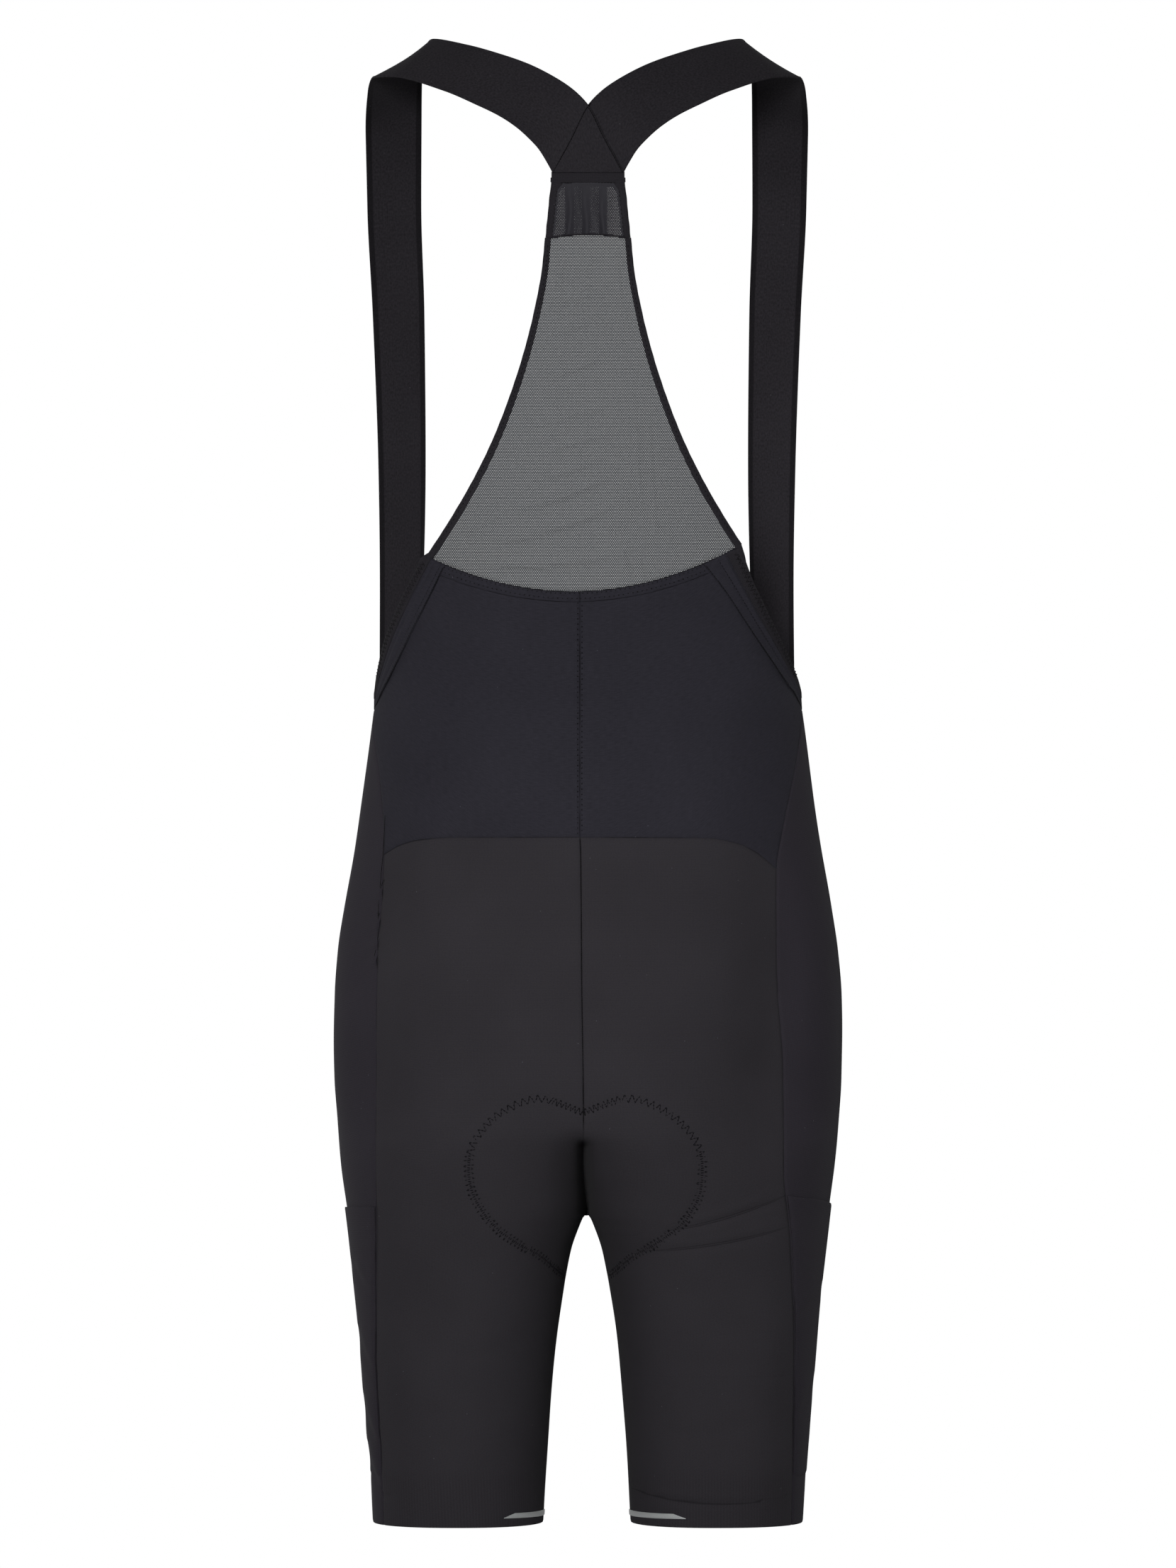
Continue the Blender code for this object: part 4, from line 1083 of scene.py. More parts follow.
def flat_net(half_width, top, bottom, inside, shift=None):
    """A bmesh of net in the plane, x across and y down in millimetres, kept where inside().
    shift(x) moves the net sideways."""
    columns = 2 * math.ceil(half_width / PITCH)
    rows = math.ceil((bottom - top) / (PITCH * ROW_RISE))
    bm = bmesh.new()
    bmesh.ops.create_grid(bm, x_segments=columns, y_segments=rows, size=0.5)
    for vert in bm.verts:
        row = round((vert.co.y + 0.5) * rows)
        odd = PITCH / 4 if row % 2 else -PITCH / 4
        vert.co.x = vert.co.x * columns * PITCH + odd
        if shift:
            vert.co.x += shift(vert.co.x)
        vert.co.y = bottom - (0.5 - vert.co.y) * rows * PITCH * ROW_RISE
    bmesh.ops.triangulate(bm, faces=bm.faces, quad_method="SHORT_EDGE")
    outer = [vert for vert in bm.verts if not inside(vert.co.x, vert.co.y)]
    bmesh.ops.delete(bm, geom=outer, context="VERTS")
    knots = [vert for vert in bm.verts if not vert.is_boundary]
    opened = bmesh.ops.bevel(bm, geom=knots, offset=HOLE, offset_type="OFFSET", affect="VERTICES",
                             segments=1, profile=0.5, material=-1)
    bmesh.ops.delete(bm, geom=opened["faces"], context="FACES_ONLY")
    bmesh.ops.reverse_faces(bm, faces=bm.faces)
    return bm


def place_net(name, bm, finish, lift, replaces=None, spread=lambda drop: 1.0):
    """Puts flat net on the upper back. lift(x, drop) moves it out; spread(drop) widens it."""
    x, drop, _ = np.array([vert.co[:] for vert in bm.verts]).T
    x = x * spread(drop)
    back = on_back(x, drop)
    placed = back + back_out(back) * (lift(x, drop) - NET / 2)[:, None]
    for vert, place in zip(bm.verts, placed * MM):
        vert.co = place
    piece = add_piece(name, bm, finish, replaces)
    bars = [len(bar.vertices) - 2 for bar in piece.data.polygons]
    print(name, len(bars), "bars,", sum(bars), "triangles")
    return piece


# %% The back net
UNDER_YOKE, UNDER_WAIST = 1.5, 2.6      # how far the net runs under them
NET_DIP = 1.2


def yoke_arch(x):
    """The yoke's lower edge rises a little in the middle."""
    return 2.2 * np.maximum(0, 1 - (x / 25) ** 2)


def net_inside(x, drop):
    """Out to the middle of the bindings, up to the yoke and down under the waist's edge."""
    x = x * net_spread(drop)
    edge = net_edge_x(drop) + 1.35 * max(drop - NET_CORNER, 0)
    top, bottom = NET_TOP - yoke_arch(x) - UNDER_YOKE, net_seam_drop(x) + UNDER_WAIST
    return abs(x) < edge - BINDING_WIDTH / 2 and top < drop < bottom


def net_spread(drop):
    return mix(0.9, 1.05, np.clip((drop - NET_TOP) / 200, 0, 1))


NET_WRINKLES = table(
    "x0 drop0 x1 drop1 bow depth width",
    (-63, 358.5, -22, 361.0, -1.5, 0.9, 1.1), (-60, 341.0, -30, 338.0, 1.0, 0.8, 1.4),
    (-48, 319.0, 18, 296.0, 3.0, 1.3, 2.8), (24, 347.0, 31, 366.0, 1.0, 0.9, 1.0),
    (-66, 340.0, 19, 317.0, 4.0, 1.3, 3.0), (-70, 356.0, 28, 350.0, 2.5, 1.1, 3.0),
    (-36, 300.0, 8, 286.0, 1.5, 0.7, 2.5), (-30, 283.0, 24, 268.0, -1.5, 0.8, 2.6),
    (-30, 262.0, 14, 250.0, 1.0, 0.7, 2.2), (-26, 232.0, 10, 218.0, 1.0, 0.8, 2.4),
    (-28, 204.0, 6, 194.0, 0.8, 0.7, 2.2), (-28, 182.0, 20, 172.0, 1.0, 0.7, 2.4),
    (30, 236.0, 38, 350.0, 0.5, 0.5, 1.6), (40, 250.0, 46, 345.0, 0.5, 0.5, 1.6),
    (34, 352.0, 37, 369.0, -0.6, 0.5, 1.0), (-10, 350.0, 40, 344.0, 2.0, 0.35, 2.0),
    (18, 150.0, 22, 186.0, -0.5, 0.6, 1.6), (-16, 146.0, -20, 196.0, -0.6, 0.6, 2.0),
    (2, 144.0, 0, 180.0, -0.4, 0.5, 1.8),
)


def net_lift(x, drop):
    lift = 0.25 * np.sin(x / 21 + drop / 47) * np.sin(drop / 33)
    for fold in NET_WRINKLES:
        t, off = beside(fold, x, drop)
        lift = lift + fold.depth * faded(t, 0.6) * bell(off / fold.width)
    # at its ends the net dips under the edge of the waist panels and under the yoke's net
    from_ends = np.minimum(net_seam_drop(x) - drop, drop - NET_TOP + yoke_arch(x))
    return lift - NET_DIP * bell(np.maximum(from_ends, -0.2) / NET_DIP + 0.2)


back_net = place_net(
    "back_mesh", flat_net(116, NET_TOP - 4, NET_LOW + 4, net_inside), NET_YARN, net_lift,
    "back_mesh", net_spread)

# %% The doubled net of the yoke
PLEATS = table(
    "x depth width top",
    (-18.6, 0.7, 1.8, 116), (-12.2, 2.2, 2.7, 100), (-6.6, 0.9, 1.6, 116), (-1.6, 2.4, 3.0, 104),
    (4.2, 0.9, 1.7, 118), (9.8, 2.2, 2.7, 106), (15.6, 0.8, 1.8, 119),
)
YOKE_NET_TOP = 104.0
YOKE_NET_HALF = (19.2, 22.9)
YOKE_EDGE_HALF = (25.0, 28.5)
YOKE_LIFT = 1.1


def yoke_half(halves, drop):
    return mix(*halves, np.clip((drop - YOKE_NET_TOP) / (NET_TOP - YOKE_NET_TOP), 0, 1))


def pleated(x, drop):
    """Gathers: narrow troughs that deepen towards the lower edge, where they are sewn."""
    lift = np.full(np.shape(x), YOKE_LIFT)
    for pleat in PLEATS:
        grown = np.clip((drop - pleat.top) / (NET_TOP - pleat.top), 0, 1) ** 0.7
        off = (x - pleat.x - 0.9 * np.sin(drop / 6 + pleat.x)) / pleat.width
        ridge = bell((off - 1.7) / 1.2)
        lift = lift + pleat.depth * grown * (0.5 * ridge - bell(off))
    return lift


def layer_shift(x):
    """The two layers nearly lie hole on hole at the sides, and slip half a cell apart at the
    pleats."""
    slip = mix(0.14, 0.25, math.exp(-(x / 14) ** 4))
    for pleat in PLEATS:
        if pleat.depth > 2:     # one of the three deep pleats
            slip = max(slip, 0.5 * bell((x - pleat.x) / 3.4))
    return slip * PITCH


def yoke_inside(x, drop):
    top, bottom = YOKE_NET_TOP - 2, NET_TOP - yoke_arch(x) + 0.8
    return abs(x) < yoke_half(YOKE_NET_HALF, drop) + 1.6 and top < drop < bottom


yoke_area = (28, YOKE_NET_TOP - 4, NET_TOP + 2, yoke_inside)
yoke_net = place_net("yoke_mesh", flat_net(*yoke_area), SHADED_DOUBLED_YARN, pleated, "yoke_mesh")
yoke_lining = place_net("yoke_mesh_under", flat_net(*yoke_area, layer_shift), SHADED_DOUBLED_YARN,
                        lambda x, drop: 0.6 * pleated(x, drop) - 0.5)

# %% [markdown]
# ## Bindings
# A folded elastic grips every free edge. It is a soft flattened tube: a row of rings along
# the edge, each turned to stand across the run and out from the body. A grid wraps round
# the rings, its two long sides are merged, and its ends are filled.

# %% Walking along a path
def along_path(path, places, values=None):
    """Points of a path at these distances from its start, or what values says there."""
    far = run_of(path)
    rows = path if values is None else values
    return np.stack([np.interp(places, far, row) for row in rows.T], axis=1)


def near(path, outs, places):
    """Outward directions at these distances along a path."""
    return unit(along_path(path, places, outs))


def length_of(path):
    return float(run_of(path)[-1])


def to_back(path):
    """Outward directions straight to the back, one for each point of a path."""
    return np.tile([0.0, -1.0, 0.0], (len(path), 1))


# %% Making a binding
RING_POINTS, CORNER = 14, 50            # edges that turn more than CORNER degrees stay sharp
NET_BINDING, YOKE_BINDING = 1.7, 2.4    # how thick they are


def bind(name, path, outs, half_width, thickness, replaces=None, wave=0.0):
    """A flattened tube along a path of points in millimetres."""
    across = unit(np.cross(outs, np.gradient(path, axis=0)))
    angle = np.linspace(0, 2 * np.pi, RING_POINTS + 1)
    flat, high = (np.sign(turn) * np.abs(turn) ** 0.8 for turn in (np.cos(angle), np.sin(angle)))
    far = run_of(path)
    ripple = 1 + wave * np.sin(far / 1.9) * np.sin(far / 7.3)
    half = (np.broadcast_to(half_width, far.shape) * ripple)[:, None, None]
    points = (path[:, None] + across[:, None] * half * flat[None, :, None]
              + outs[:, None] * (thickness / 2) * high[None, :, None])
    girth = 2 * (2 * float(np.mean(half_width)) + thickness)
    cloth = np.broadcast_arrays(far[:, None], np.linspace(0, girth, RING_POINTS + 1))
    bm = bmesh.new()
    add_grid(bm, points)
    map_cloth(bm, cloth=np.stack(cloth, axis=-1))
    bmesh.ops.remove_doubles(bm, verts=bm.verts, dist=1e-7)
    bmesh.ops.holes_fill(bm, edges=[edge for edge in bm.edges if edge.is_boundary], sides=0)
    bmesh.ops.recalc_face_normals(bm, faces=bm.faces)
    print(f"{name}: {far[-1]:.0f} mm of binding")
    return add_piece(name, bm, EDGE_ELASTIC, replaces, CORNER)


# %% Where the bindings run
def net_edge_path(side, inset, lift, count=160):
    """Points beside the net's outer edge, inset from it, from the yoke down to the waist."""
    v = np.linspace(0, 1, count)
    bottom = np.full(count, NET_LOW)
    for _ in range(SETTLE):
        bottom = net_seam_drop(side * (net_edge_x(bottom) - inset)) - SEAM
    drop = mix(NET_TOP, bottom, v)
    path = on_back(side * (net_edge_x(drop) - inset), drop)
    outs = back_out(path)
    return path + outs * lift, outs


def yoke_edge_path(side, inward, lift, count=40):
    drop = np.linspace(YOKE_NET_TOP - 5, NET_TOP, count)
    rounded = 3.5 * np.clip((YOKE_NET_TOP + 6 - drop) / 7, 0, 1) ** 2
    inner = yoke_half(YOKE_NET_HALF, drop) + SEAM - rounded
    outer = yoke_half(YOKE_EDGE_HALF, drop)
    path = on_back(side * mix(outer, inner, inward), drop)
    outs = back_out(path)
    return path + outs * lift, outs, (outer - inner) / 2


def level_path(half, depth, drop, count=60):
    """A level path behind the yoke, from the left to the right."""
    x = np.linspace(-half, half, count)
    return np.stack([x, np.full(count, -depth), np.full(count, -drop)], axis=1)


# %% Bindings of the net and the yoke
net_bindings = []
BINDING_HALF = np.linspace(BINDING_WIDTH / 2, BINDING_WIDTH / 2 + 0.6, 160)
for side in SIDES:
    name = f"mesh_edge_{SIDES[side]}"
    path, outs = net_edge_path(side, BINDING_HALF, -0.5)
    net_bindings.append(bind(name, path, outs, BINDING_HALF, NET_BINDING, name, 0.03))
    name = f"yoke_edge_{SIDES[side]}"
    path, outs, half_width = yoke_edge_path(side, 0.5, -0.45)
    net_bindings.append(bind(name, path, outs, half_width, YOKE_BINDING, name, 0.04))

hem_x = np.linspace(-24.5, 24.5, 60)
hem_path = on_back(hem_x, NET_TOP - yoke_arch(hem_x) - 0.4)
hem_outs = back_out(hem_path)
bind("yoke_hem", hem_path + hem_outs * 0.9, hem_outs, 0.45, 0.9, wave=0.15)

BAND_MIDDLE, BAND_DEPTH, BAND_HALF, BAND_THICK = 99.9, 97.0, 4.9, 4.4
band_path = level_path(24.4, BAND_DEPTH, BAND_MIDDLE)
net_bindings.append(
    bind("yoke_band", band_path, to_back(band_path), BAND_HALF, BAND_THICK, "yoke_band"))

# %% Cuts of the nets
def declare_net(piece, half_width_at, top, bottom, with_pieces):
    """The cut of a net panel: width and length laid flat, and the area inside its outline."""
    drops = np.linspace(top, bottom, 100)
    widths = 2 * half_width_at(drops)
    area = float(np.sum((widths[1:] + widths[:-1]) / 2 * np.diff(drops)))
    declare(piece, float(widths.max()), bottom - top, area, with_pieces=with_pieces)


def net_half(drop):
    """Half the net's width. Below its corner the waist's curved seam cuts it off."""
    return 1.06 * net_edge_x(drop) * (1 - np.maximum(drop - NET_CORNER, 0) / 52)


declare_net(back_net, net_half, NET_TOP, NET_LOW, net_bindings)
for layer, fullness in ((yoke_net, 1.15), (yoke_lining, 1.1)):
    declare_net(layer, lambda drop: fullness * yoke_half(YOKE_NET_HALF, drop),
                YOKE_NET_TOP, NET_TOP, [])

# %% [markdown]
# ## Armhole bands
# The slanted edges of the waist panels are finished with a band of the jersey folded over
# elastic. It shows as a smooth strip inside, a step, and a raised outer strip that carries
# the zigzag. All of that is one grid with a profile across it, laid on the panel.

# %% Armhole bands
BAND_LEAST = 0.006
BAND_PROFILE = {
    LEFT: table(
        "across lift",
        (0.0, 0.0), (0.05, 0.40), (0.13, 0.55), (0.18, 0.05), (0.25, 0.60), (0.36, 0.80),
        (0.46, 0.20), (0.54, 0.70), (0.62, 0.10), (0.70, 0.85), (0.94, 0.95), (1.0, 0.1),
    ),
    RIGHT: table(
        "across lift",
        (0.0, 0.0), (0.05, 0.35), (0.30, 0.45), (0.36, 0.15), (0.42, 0.60), (0.53, 1.10),
        (0.59, 0.05), (0.68, 0.30), (0.80, 0.85), (0.94, 0.80), (1.0, 0.1),
    ),
}
BAND_BASE = 0.95
FACING_START = {LEFT: 0.63, RIGHT: 0.60}


def armhole_end(side):
    """How far down the waist panel's outer edge the armhole reaches, as a share of it."""
    edge = np.array([1.0])
    top, bottom = (waist_place(side, edge, np.array([v]))[0][0] for v in (0.0, 1.0))
    return (ARMHOLE_LOW - top) / (bottom - top)


def on_band(side, across, v, lift=0.0):
    """Places on the armhole band: v down, and across it from its inner edge to the armhole."""
    drop, outer = waist_place(side, np.ones_like(v), v)
    inner = np.array([share_of(float(d), float(band_x[side](d))) for d in drop]) / outer
    inner = mix(inner, 1.0, np.clip(v / armhole_end(side) / 0.03 - 0.97 / 0.03, 0, 1))
    inner = np.minimum(inner, 1 - BAND_LEAST)
    rows = v.reshape(-1, *[1] * np.ndim(across))
    u = mix(inner.reshape(rows.shape), 1.0, across)
    drop, share = waist_place(side, *np.broadcast_arrays(u, rows))
    profile = column(BAND_PROFILE[side], "lift", "across")
    flat = 1 - 0.9 * np.clip(rows / armhole_end(side) - 0.9, 0, 0.1) * 10
    raised = (BAND_BASE + profile(np.broadcast_to(across, drop.shape))) * flat + lift
    return drop, share, raised + creased(side, drop, share)


def add_on_band(part, side, across, v, finish, thickness, rests_on, lift=0.0, replaces=False):
    """Lays a strip that follows the band's profile, on another piece of the same side."""
    name = f"{part}_{SIDES[side]}"
    drop, share, raised = on_band(side, across, armhole_end(side) * v, lift)
    points = on_body(side, drop, share)
    strip = lay(name, points, side, finish, thickness, raised,
                name if replaces else None)
    cut_of(strip, points, rests_on=[f"{rests_on}_{SIDES[side]}"])


def add_binding_end(side):
    """The binding's folded end, which rounds the corner onto the armhole's edge."""
    start, _ = net_edge_path(side, BINDING_HALF, -0.3)
    v = armhole_end(side) * np.linspace(0.03, 0.1 if side == RIGHT else 0.05, 6)
    drop, share, raised = on_band(side, 0.93, v, -0.3)
    edge, outs = on_cloth(side, drop, share, 0.0, back=False)
    edge = edge + outs * raised[:, None]
    path = np.concatenate([start[-6:-1], edge])
    path = along_path(path, np.linspace(0, length_of(path), 24))
    outs = near(edge, outs, np.linspace(0, length_of(edge), 24))
    half = 2.7 * np.sqrt(np.sin(np.pi * np.linspace(0.06, 0.94, 24)))
    bind(f"binding_end_{SIDES[side]}", path, outs, half, 2.2)


for side in SIDES:
    add_on_band("armhole_band", side, np.linspace(0, 1, 34), np.linspace(0, 1, 64),
                WAIST_JERSEY, LAYER, "waist_panel", replaces=True)
    # the elastic that is turned out along the armhole, darker and warmer than the jersey
    add_on_band("armhole_facing", side, mix(FACING_START[side], 0.985, np.linspace(0, 1, 14)),
                np.linspace(0.005, 0.93, 60), EDGE_ELASTIC, 0.5, "armhole_band", 0.22)
    add_binding_end(side)

# %% [markdown]
# ## Reflective tabs
# A strip of reflective film is bonded near the hem at the inner back of each leg, cut to a
# slanted point. It takes its place from the seat panel and stands half a millimetre proud.

# %% Reflective tabs
TAB_END = {LEFT: 56.0, RIGHT: 66.0}
TAB_TOP, TAB_BOTTOM = (994.0, 993.1), (998.0, 996.5)
TAB_START, TAB_POINT, TAB_BLUNT, TAB_PROUD = 0.022, 0.055, 0.5, 0.62
TAB_ROWS = np.array([0, 0.06, 0.16, 0.34, 0.5, 0.66, 0.84, 0.94, 1])[:, None]

for side in SIDES:
    name = f"hem_reflector_{SIDES[side]}"
    middle = (TAB_TOP[0] + TAB_BOTTOM[1]) / 2
    end = share_of(middle, TAB_END[side]) / back_seam(side, middle)
    shoulder = end - TAB_POINT
    u = np.append(np.linspace(TAB_START, shoulder, 26), np.linspace(shoulder, end, 8)[1:])
    upper, lower = mix(*TAB_TOP, u / end), mix(*TAB_BOTTOM, u / end)
    upper = mix(upper, lower - TAB_BLUNT, np.clip((u - shoulder) / TAB_POINT, 0, 1))
    drop, share = seat_place(side, u[None, :] + 0 * TAB_ROWS, mix(upper, lower, TAB_ROWS))
    lift = creased(side, drop, share) + TAB_PROUD - 0.25 * np.abs(2 * TAB_ROWS - 1) ** 6
    lay(name, on_body(side, drop, share), side, FILM_FACE, FILM, lift, name)

# %% [markdown]
# ## The seat pad
# The pad is moulded foam with a brushed face. It is not filled like a cushion, so no cloth
# simulation is needed: each half is a sheet laid inside the seat and the front, thickest
# where the rider sits and thinned to its edge, given a closed wall and smoothed once.

# %% Pads
PAD_FRONT = table(
    "seam x drop",
    (793.5, 40.0, 812), (786, 50.0, 792), (774, 54.0, 768), (758, 54.0, 742),
    (740, 50.0, 722), (722, 36.0, 706),
)
PAD_INSIDE, PAD_THIN = CLOTH + 3.6, 1.6      # where its face lies, and its thickness at the edge
PAD_ACROSS = np.linspace(0, 1, 17)[None, :]


def pad_half(edges, front, count):
    """Rows of points from the centre seam out to the pad's outline, and shares across."""
    far = np.linspace(0, 1, len(edges))
    rows = np.linspace(0, 1, count)
    seams, xs, drops = (smooth(far, places)(rows) for places in zip(*edges))
    outline = np.array([share_of(float(d), float(x), front) for x, d in zip(xs, drops)])
    drop = mix(seams[:, None], drops[:, None], PAD_ACROSS)
    return drop, mix(float(front), outline[:, None], PAD_ACROSS)


def add_pad(side):
    name = f"seat_pad_{SIDES[side]}"
    back_drop, back_share = pad_half(PAD_BACK, False, 26)
    front_drop, front_share = pad_half(PAD_FRONT, True, 20)
    crotch_drop = mix(CROTCH, PAD_LOW, PAD_ACROSS)
    drop = np.concatenate([back_drop, crotch_drop, front_drop[1:]])
    points = on_body(side, drop, np.concatenate([back_share, 0 * crotch_drop, front_share[1:]]))
    behind = len(back_drop) + 1
    points[:behind] = seat_form(points[:behind])
    rows = np.linspace(0, 1, len(points))[:, None]
    edge = np.minimum(np.minimum(rows, 1 - rows) * 6, (1 - PAD_ACROSS) * 4)
    thick = mix(PAD_THIN, FOAM, np.clip(edge, 0, 1) ** 0.5)[..., None]
    outs = outwards(points, side)
    cloth = np.stack([distances(points, 1), distances(points, 0)], axis=-1)
    bm = bmesh.new()
    add_grid(bm, points - outs * PAD_INSIDE)
    add_grid(bm, points - outs * (PAD_INSIDE + thick))
    bmesh.ops.bridge_loops(bm, edges=[edge for edge in bm.edges if edge.is_boundary])
    map_cloth(bm, cloth=np.stack([cloth, cloth]))
    bmesh.ops.recalc_face_normals(bm, faces=bm.faces)
    pad = add_piece(name, bm, PAD_FACE, name, CORNER)
    subdivision = pad.modifiers.new("rounding", "SUBSURF")
    subdivision.levels = subdivision.render_levels = 1
    print(name, thick.size, "points a face")


for side in SIDES:
    add_pad(side)

# %% [markdown]
# ## The band under the net
# Where the net meets the waist, the jersey is folded over and sewn flat with a cover stitch.
# It shows as a raised band about seven millimetres deep, and its stitches come further on.

# %% The folded band
RIM = 7.2


def on_waist(side, u, below, lift=0.0):
    """Places a distance below the waist panel's upper edge, and the direction out of it."""
    u, below = np.broadcast_arrays(np.asarray(u, float), np.asarray(below, float))
    top = waist_top(side, u)
    v = below / (waist_drop[side](u) - top)
    drop, share = waist_place(side, u, v)
    return on_cloth(side, drop, share, lift, back=False)


for side in SIDES:
    u, below = np.meshgrid(np.linspace(0, 1, 70), RIM * crowded(RIM, 0.8))
    points, _ = on_waist(side, u, below)
    edge = np.minimum(below, RIM - below)
    lift = 0.55 - 0.6 * bell(edge / 0.6) + 0.12 * np.cos(2 * np.pi * (below - 1.9) / 2.6)
    lay(f"net_rim_{SIDES[side]}", points, side, WAIST_JERSEY, 0.8, lift)

# %% [markdown]
# ## Stitches
# Each seam here has its own stitch: a straight lockstitch, a cover stitch that zigzags
# between two rows of needle holes, and a three-step zigzag round the pad. A stitch is one
# small flattened ball stretched along the thread, and a whole row becomes one mesh. The
# thread lies on the cloth, half sunk in it. Its colour is painted darker than the cloth,
# as painted shade of the stitches and of the needle holes.

# %% Making rows of stitches
def straight(path, outs, step, filled=0.7):
    """A lockstitch along a path: starts, ends and outward directions."""
    total = length_of(path)
    count = max(round(total / step), 1)
    starts = (np.arange(count) + (1 - filled) / 2) * total / count
    ends = starts + filled * total / count
    return along_path(path, starts), along_path(path, ends), near(path, outs, (starts + ends) / 2)


def zigzag(path, outs, width, period, steps=1, filled=0.8):
    """A zigzag of this width along a path, with this many stitches in each slanted run."""
    total = length_of(path)
    count = max(round(total / period * 2 * steps), 2)
    places = np.linspace(0, total, count + 1)
    out = near(path, outs, places)
    middle = along_path(path, places)
    across = unit(np.cross(out, np.gradient(middle, axis=0)))
    swing = 1 - 2 * np.abs(np.arange(count + 1) / steps % 2 - 1)
    knots = middle + across * (width / 2 * swing)[:, None]
    starts = mix(knots[:-1], knots[1:], (1 - filled) / 2)
    ends = mix(knots[1:], knots[:-1], (1 - filled) / 2)
    return starts, ends, out[1:]


def one_stitch():
    """The shape that every stitch is stretched from."""
    bm = bmesh.new()
    bmesh.ops.create_uvsphere(bm, u_segments=6, v_segments=4, radius=1)
    return mesh_of("one_stitch", bm)


STITCH = one_stitch()
STITCH_POINTS = np.array([vert.co[:] for vert in STITCH.vertices])
NO_LENGTH = 1e-6


def sew(name, rows, radius, finish=SHADED_THREAD):
    """Joins rows of stitches into one piece. radius is half the thread's width, in mm."""
    starts, ends, outs = (np.concatenate(parts) for parts in zip(*rows))
    run = ends - starts
    length = np.linalg.norm(run, axis=1, keepdims=True)
    level = unit(np.cross(outs, (0.0, 0.0, 1.0)))
    run = np.where(length > NO_LENGTH, run / np.maximum(length, NO_LENGTH), level)
    axes = np.stack([run * (length / 2 + radius), np.cross(outs, run) * radius,
                     outs * 0.7 * radius], axis=1)
    middles = (starts + ends)[:, None] / 2
    points = middles + np.einsum("pk,nkx->npx", STITCH_POINTS, axes)
    bm = bmesh.new()
    for _ in starts:
        bm.from_mesh(STITCH)
    piece = add_piece(name, bm, finish)
    piece.data.vertices.foreach_set("co", (points * MM).ravel())
    piece.data.update()
    print(f"{name}: {len(starts)} stitches")


def holes(row):
    """Only the needle holes of a row: a dot, painted shade of the hole, at each stitch's start."""
    starts, _, outs = row
    return starts, starts, outs


# %% Stitches of the seat and the pad
centre_drops = np.linspace(WAIST_SEAM + 1, 742, 200)
centre_path, centre_outs = on_cloth(RIGHT, centre_drops, 0.0, -0.25)
sew("stitches_centre_back", [straight(centre_path, centre_outs, 1.45, 0.72)], 0.36)

PAD_SEWING = table(         # start and end are shares of the pad's outline
    "start end width period",
    (0.0, 0.08, 5.0, 3.3), (0.08, 0.34, 5.6, 4.9), (0.34, 0.66, 8.0, 3.3), (0.66, 1.0, 6.6, 3.7),
)
uneven = np.random.default_rng(7)
pad_rows = []
for side in SIDES:
    shares, drops = PAD_LINE
    path, outs = on_cloth(side, drops, shares, 0.16)
    total = length_of(path)
    for start, end, width, period in PAD_SEWING:
        places = np.linspace(total * start, total * end, 200)
        starts, ends, row_outs = zigzag(along_path(path, places), near(path, outs, places), width,
                                        period * uneven.uniform(0.95, 1.05), 3, 0.6)
        shaken = uneven.normal(0, 0.14, starts.shape)
        pad_rows.append((starts + shaken, ends + shaken, row_outs))
sew("stitches_pad", pad_rows, 0.4, SHADED_SOFT_THREAD)

# %% The gathered seam on the left, and its painted shade line
# Rows of the dark thread along the gathered seam and its puckers: painted shade of the overlock's
# gathers.
GATHERED_SHADE_LINES = (
    table("drop x", (524.4, 136.0), (547.3, 137.2), (573.9, 139.4), (592.0, 140.5),
          (600.0, 140.3), (607.7, 140.9), (614.8, 142.1), (619.5, 143.4)),
    table("drop x", (567.8, 136.2), (570.5, 137.8), (576.0, 139.3)),
    table("drop x", (590.0, 139.6), (593.0, 140.4), (596.0, 140.6)),
)
gathered_shade_rows = []
for line in GATHERED_SHADE_LINES:
    drops = np.linspace(line[0].drop, line[-1].drop, 60)
    shares = np.array([share_of(drop, x) for drop, x in zip(drops, column(line, "x")(drops))])
    path, outs = on_cloth(LEFT, drops, shares, 0.12)
    gathered_shade_rows.append(straight(path, outs, 1.4, 0.95))
sew("side_seam_shade_line", gathered_shade_rows, 0.3)

# %% Stitches of the waist
waist_rows, hole_shade_rows = [], []
middle_drops = np.linspace(NET_LOW + RIM + 0.5, WAIST_SEAM - 1, 160)
path, outs = on_cloth(RIGHT, middle_drops, 0.0, 0.02, back=False)
hole_shade_rows.append(holes(zigzag(path, outs, 2.8, 3.5, filled=1.0)))
for side in SIDES:
    path, outs = on_waist(side, np.linspace(0.004, 0.985, 160), 3.1, 0.62)
    hole_shade_rows.append(holes(zigzag(path, outs, 3.4, 3.2, filled=1.0)))
    edge_path, edge_outs = on_waist(side, np.linspace(0.002, 0.99, 160), 0.35, 0.1)
    waist_rows.append(straight(edge_path, edge_outs, 1.15, 0.7))
sew("stitches_waist", waist_rows, 0.2)
# the needle holes are dots of the dark thread: painted shade of the holes
sew("needle_hole_shade_waist", hole_shade_rows, 0.46)


# %% Stitches of the armhole bands
def band_run(side, across, start, end, lift):
    v = armhole_end(side) * np.linspace(start, end, 140)
    drop, share, raised = on_band(side, across, v, lift)
    points, outs = on_cloth(side, drop, share, 0.0, back=False)
    return points + outs * (raised - creased(side, drop, share))[:, None], outs


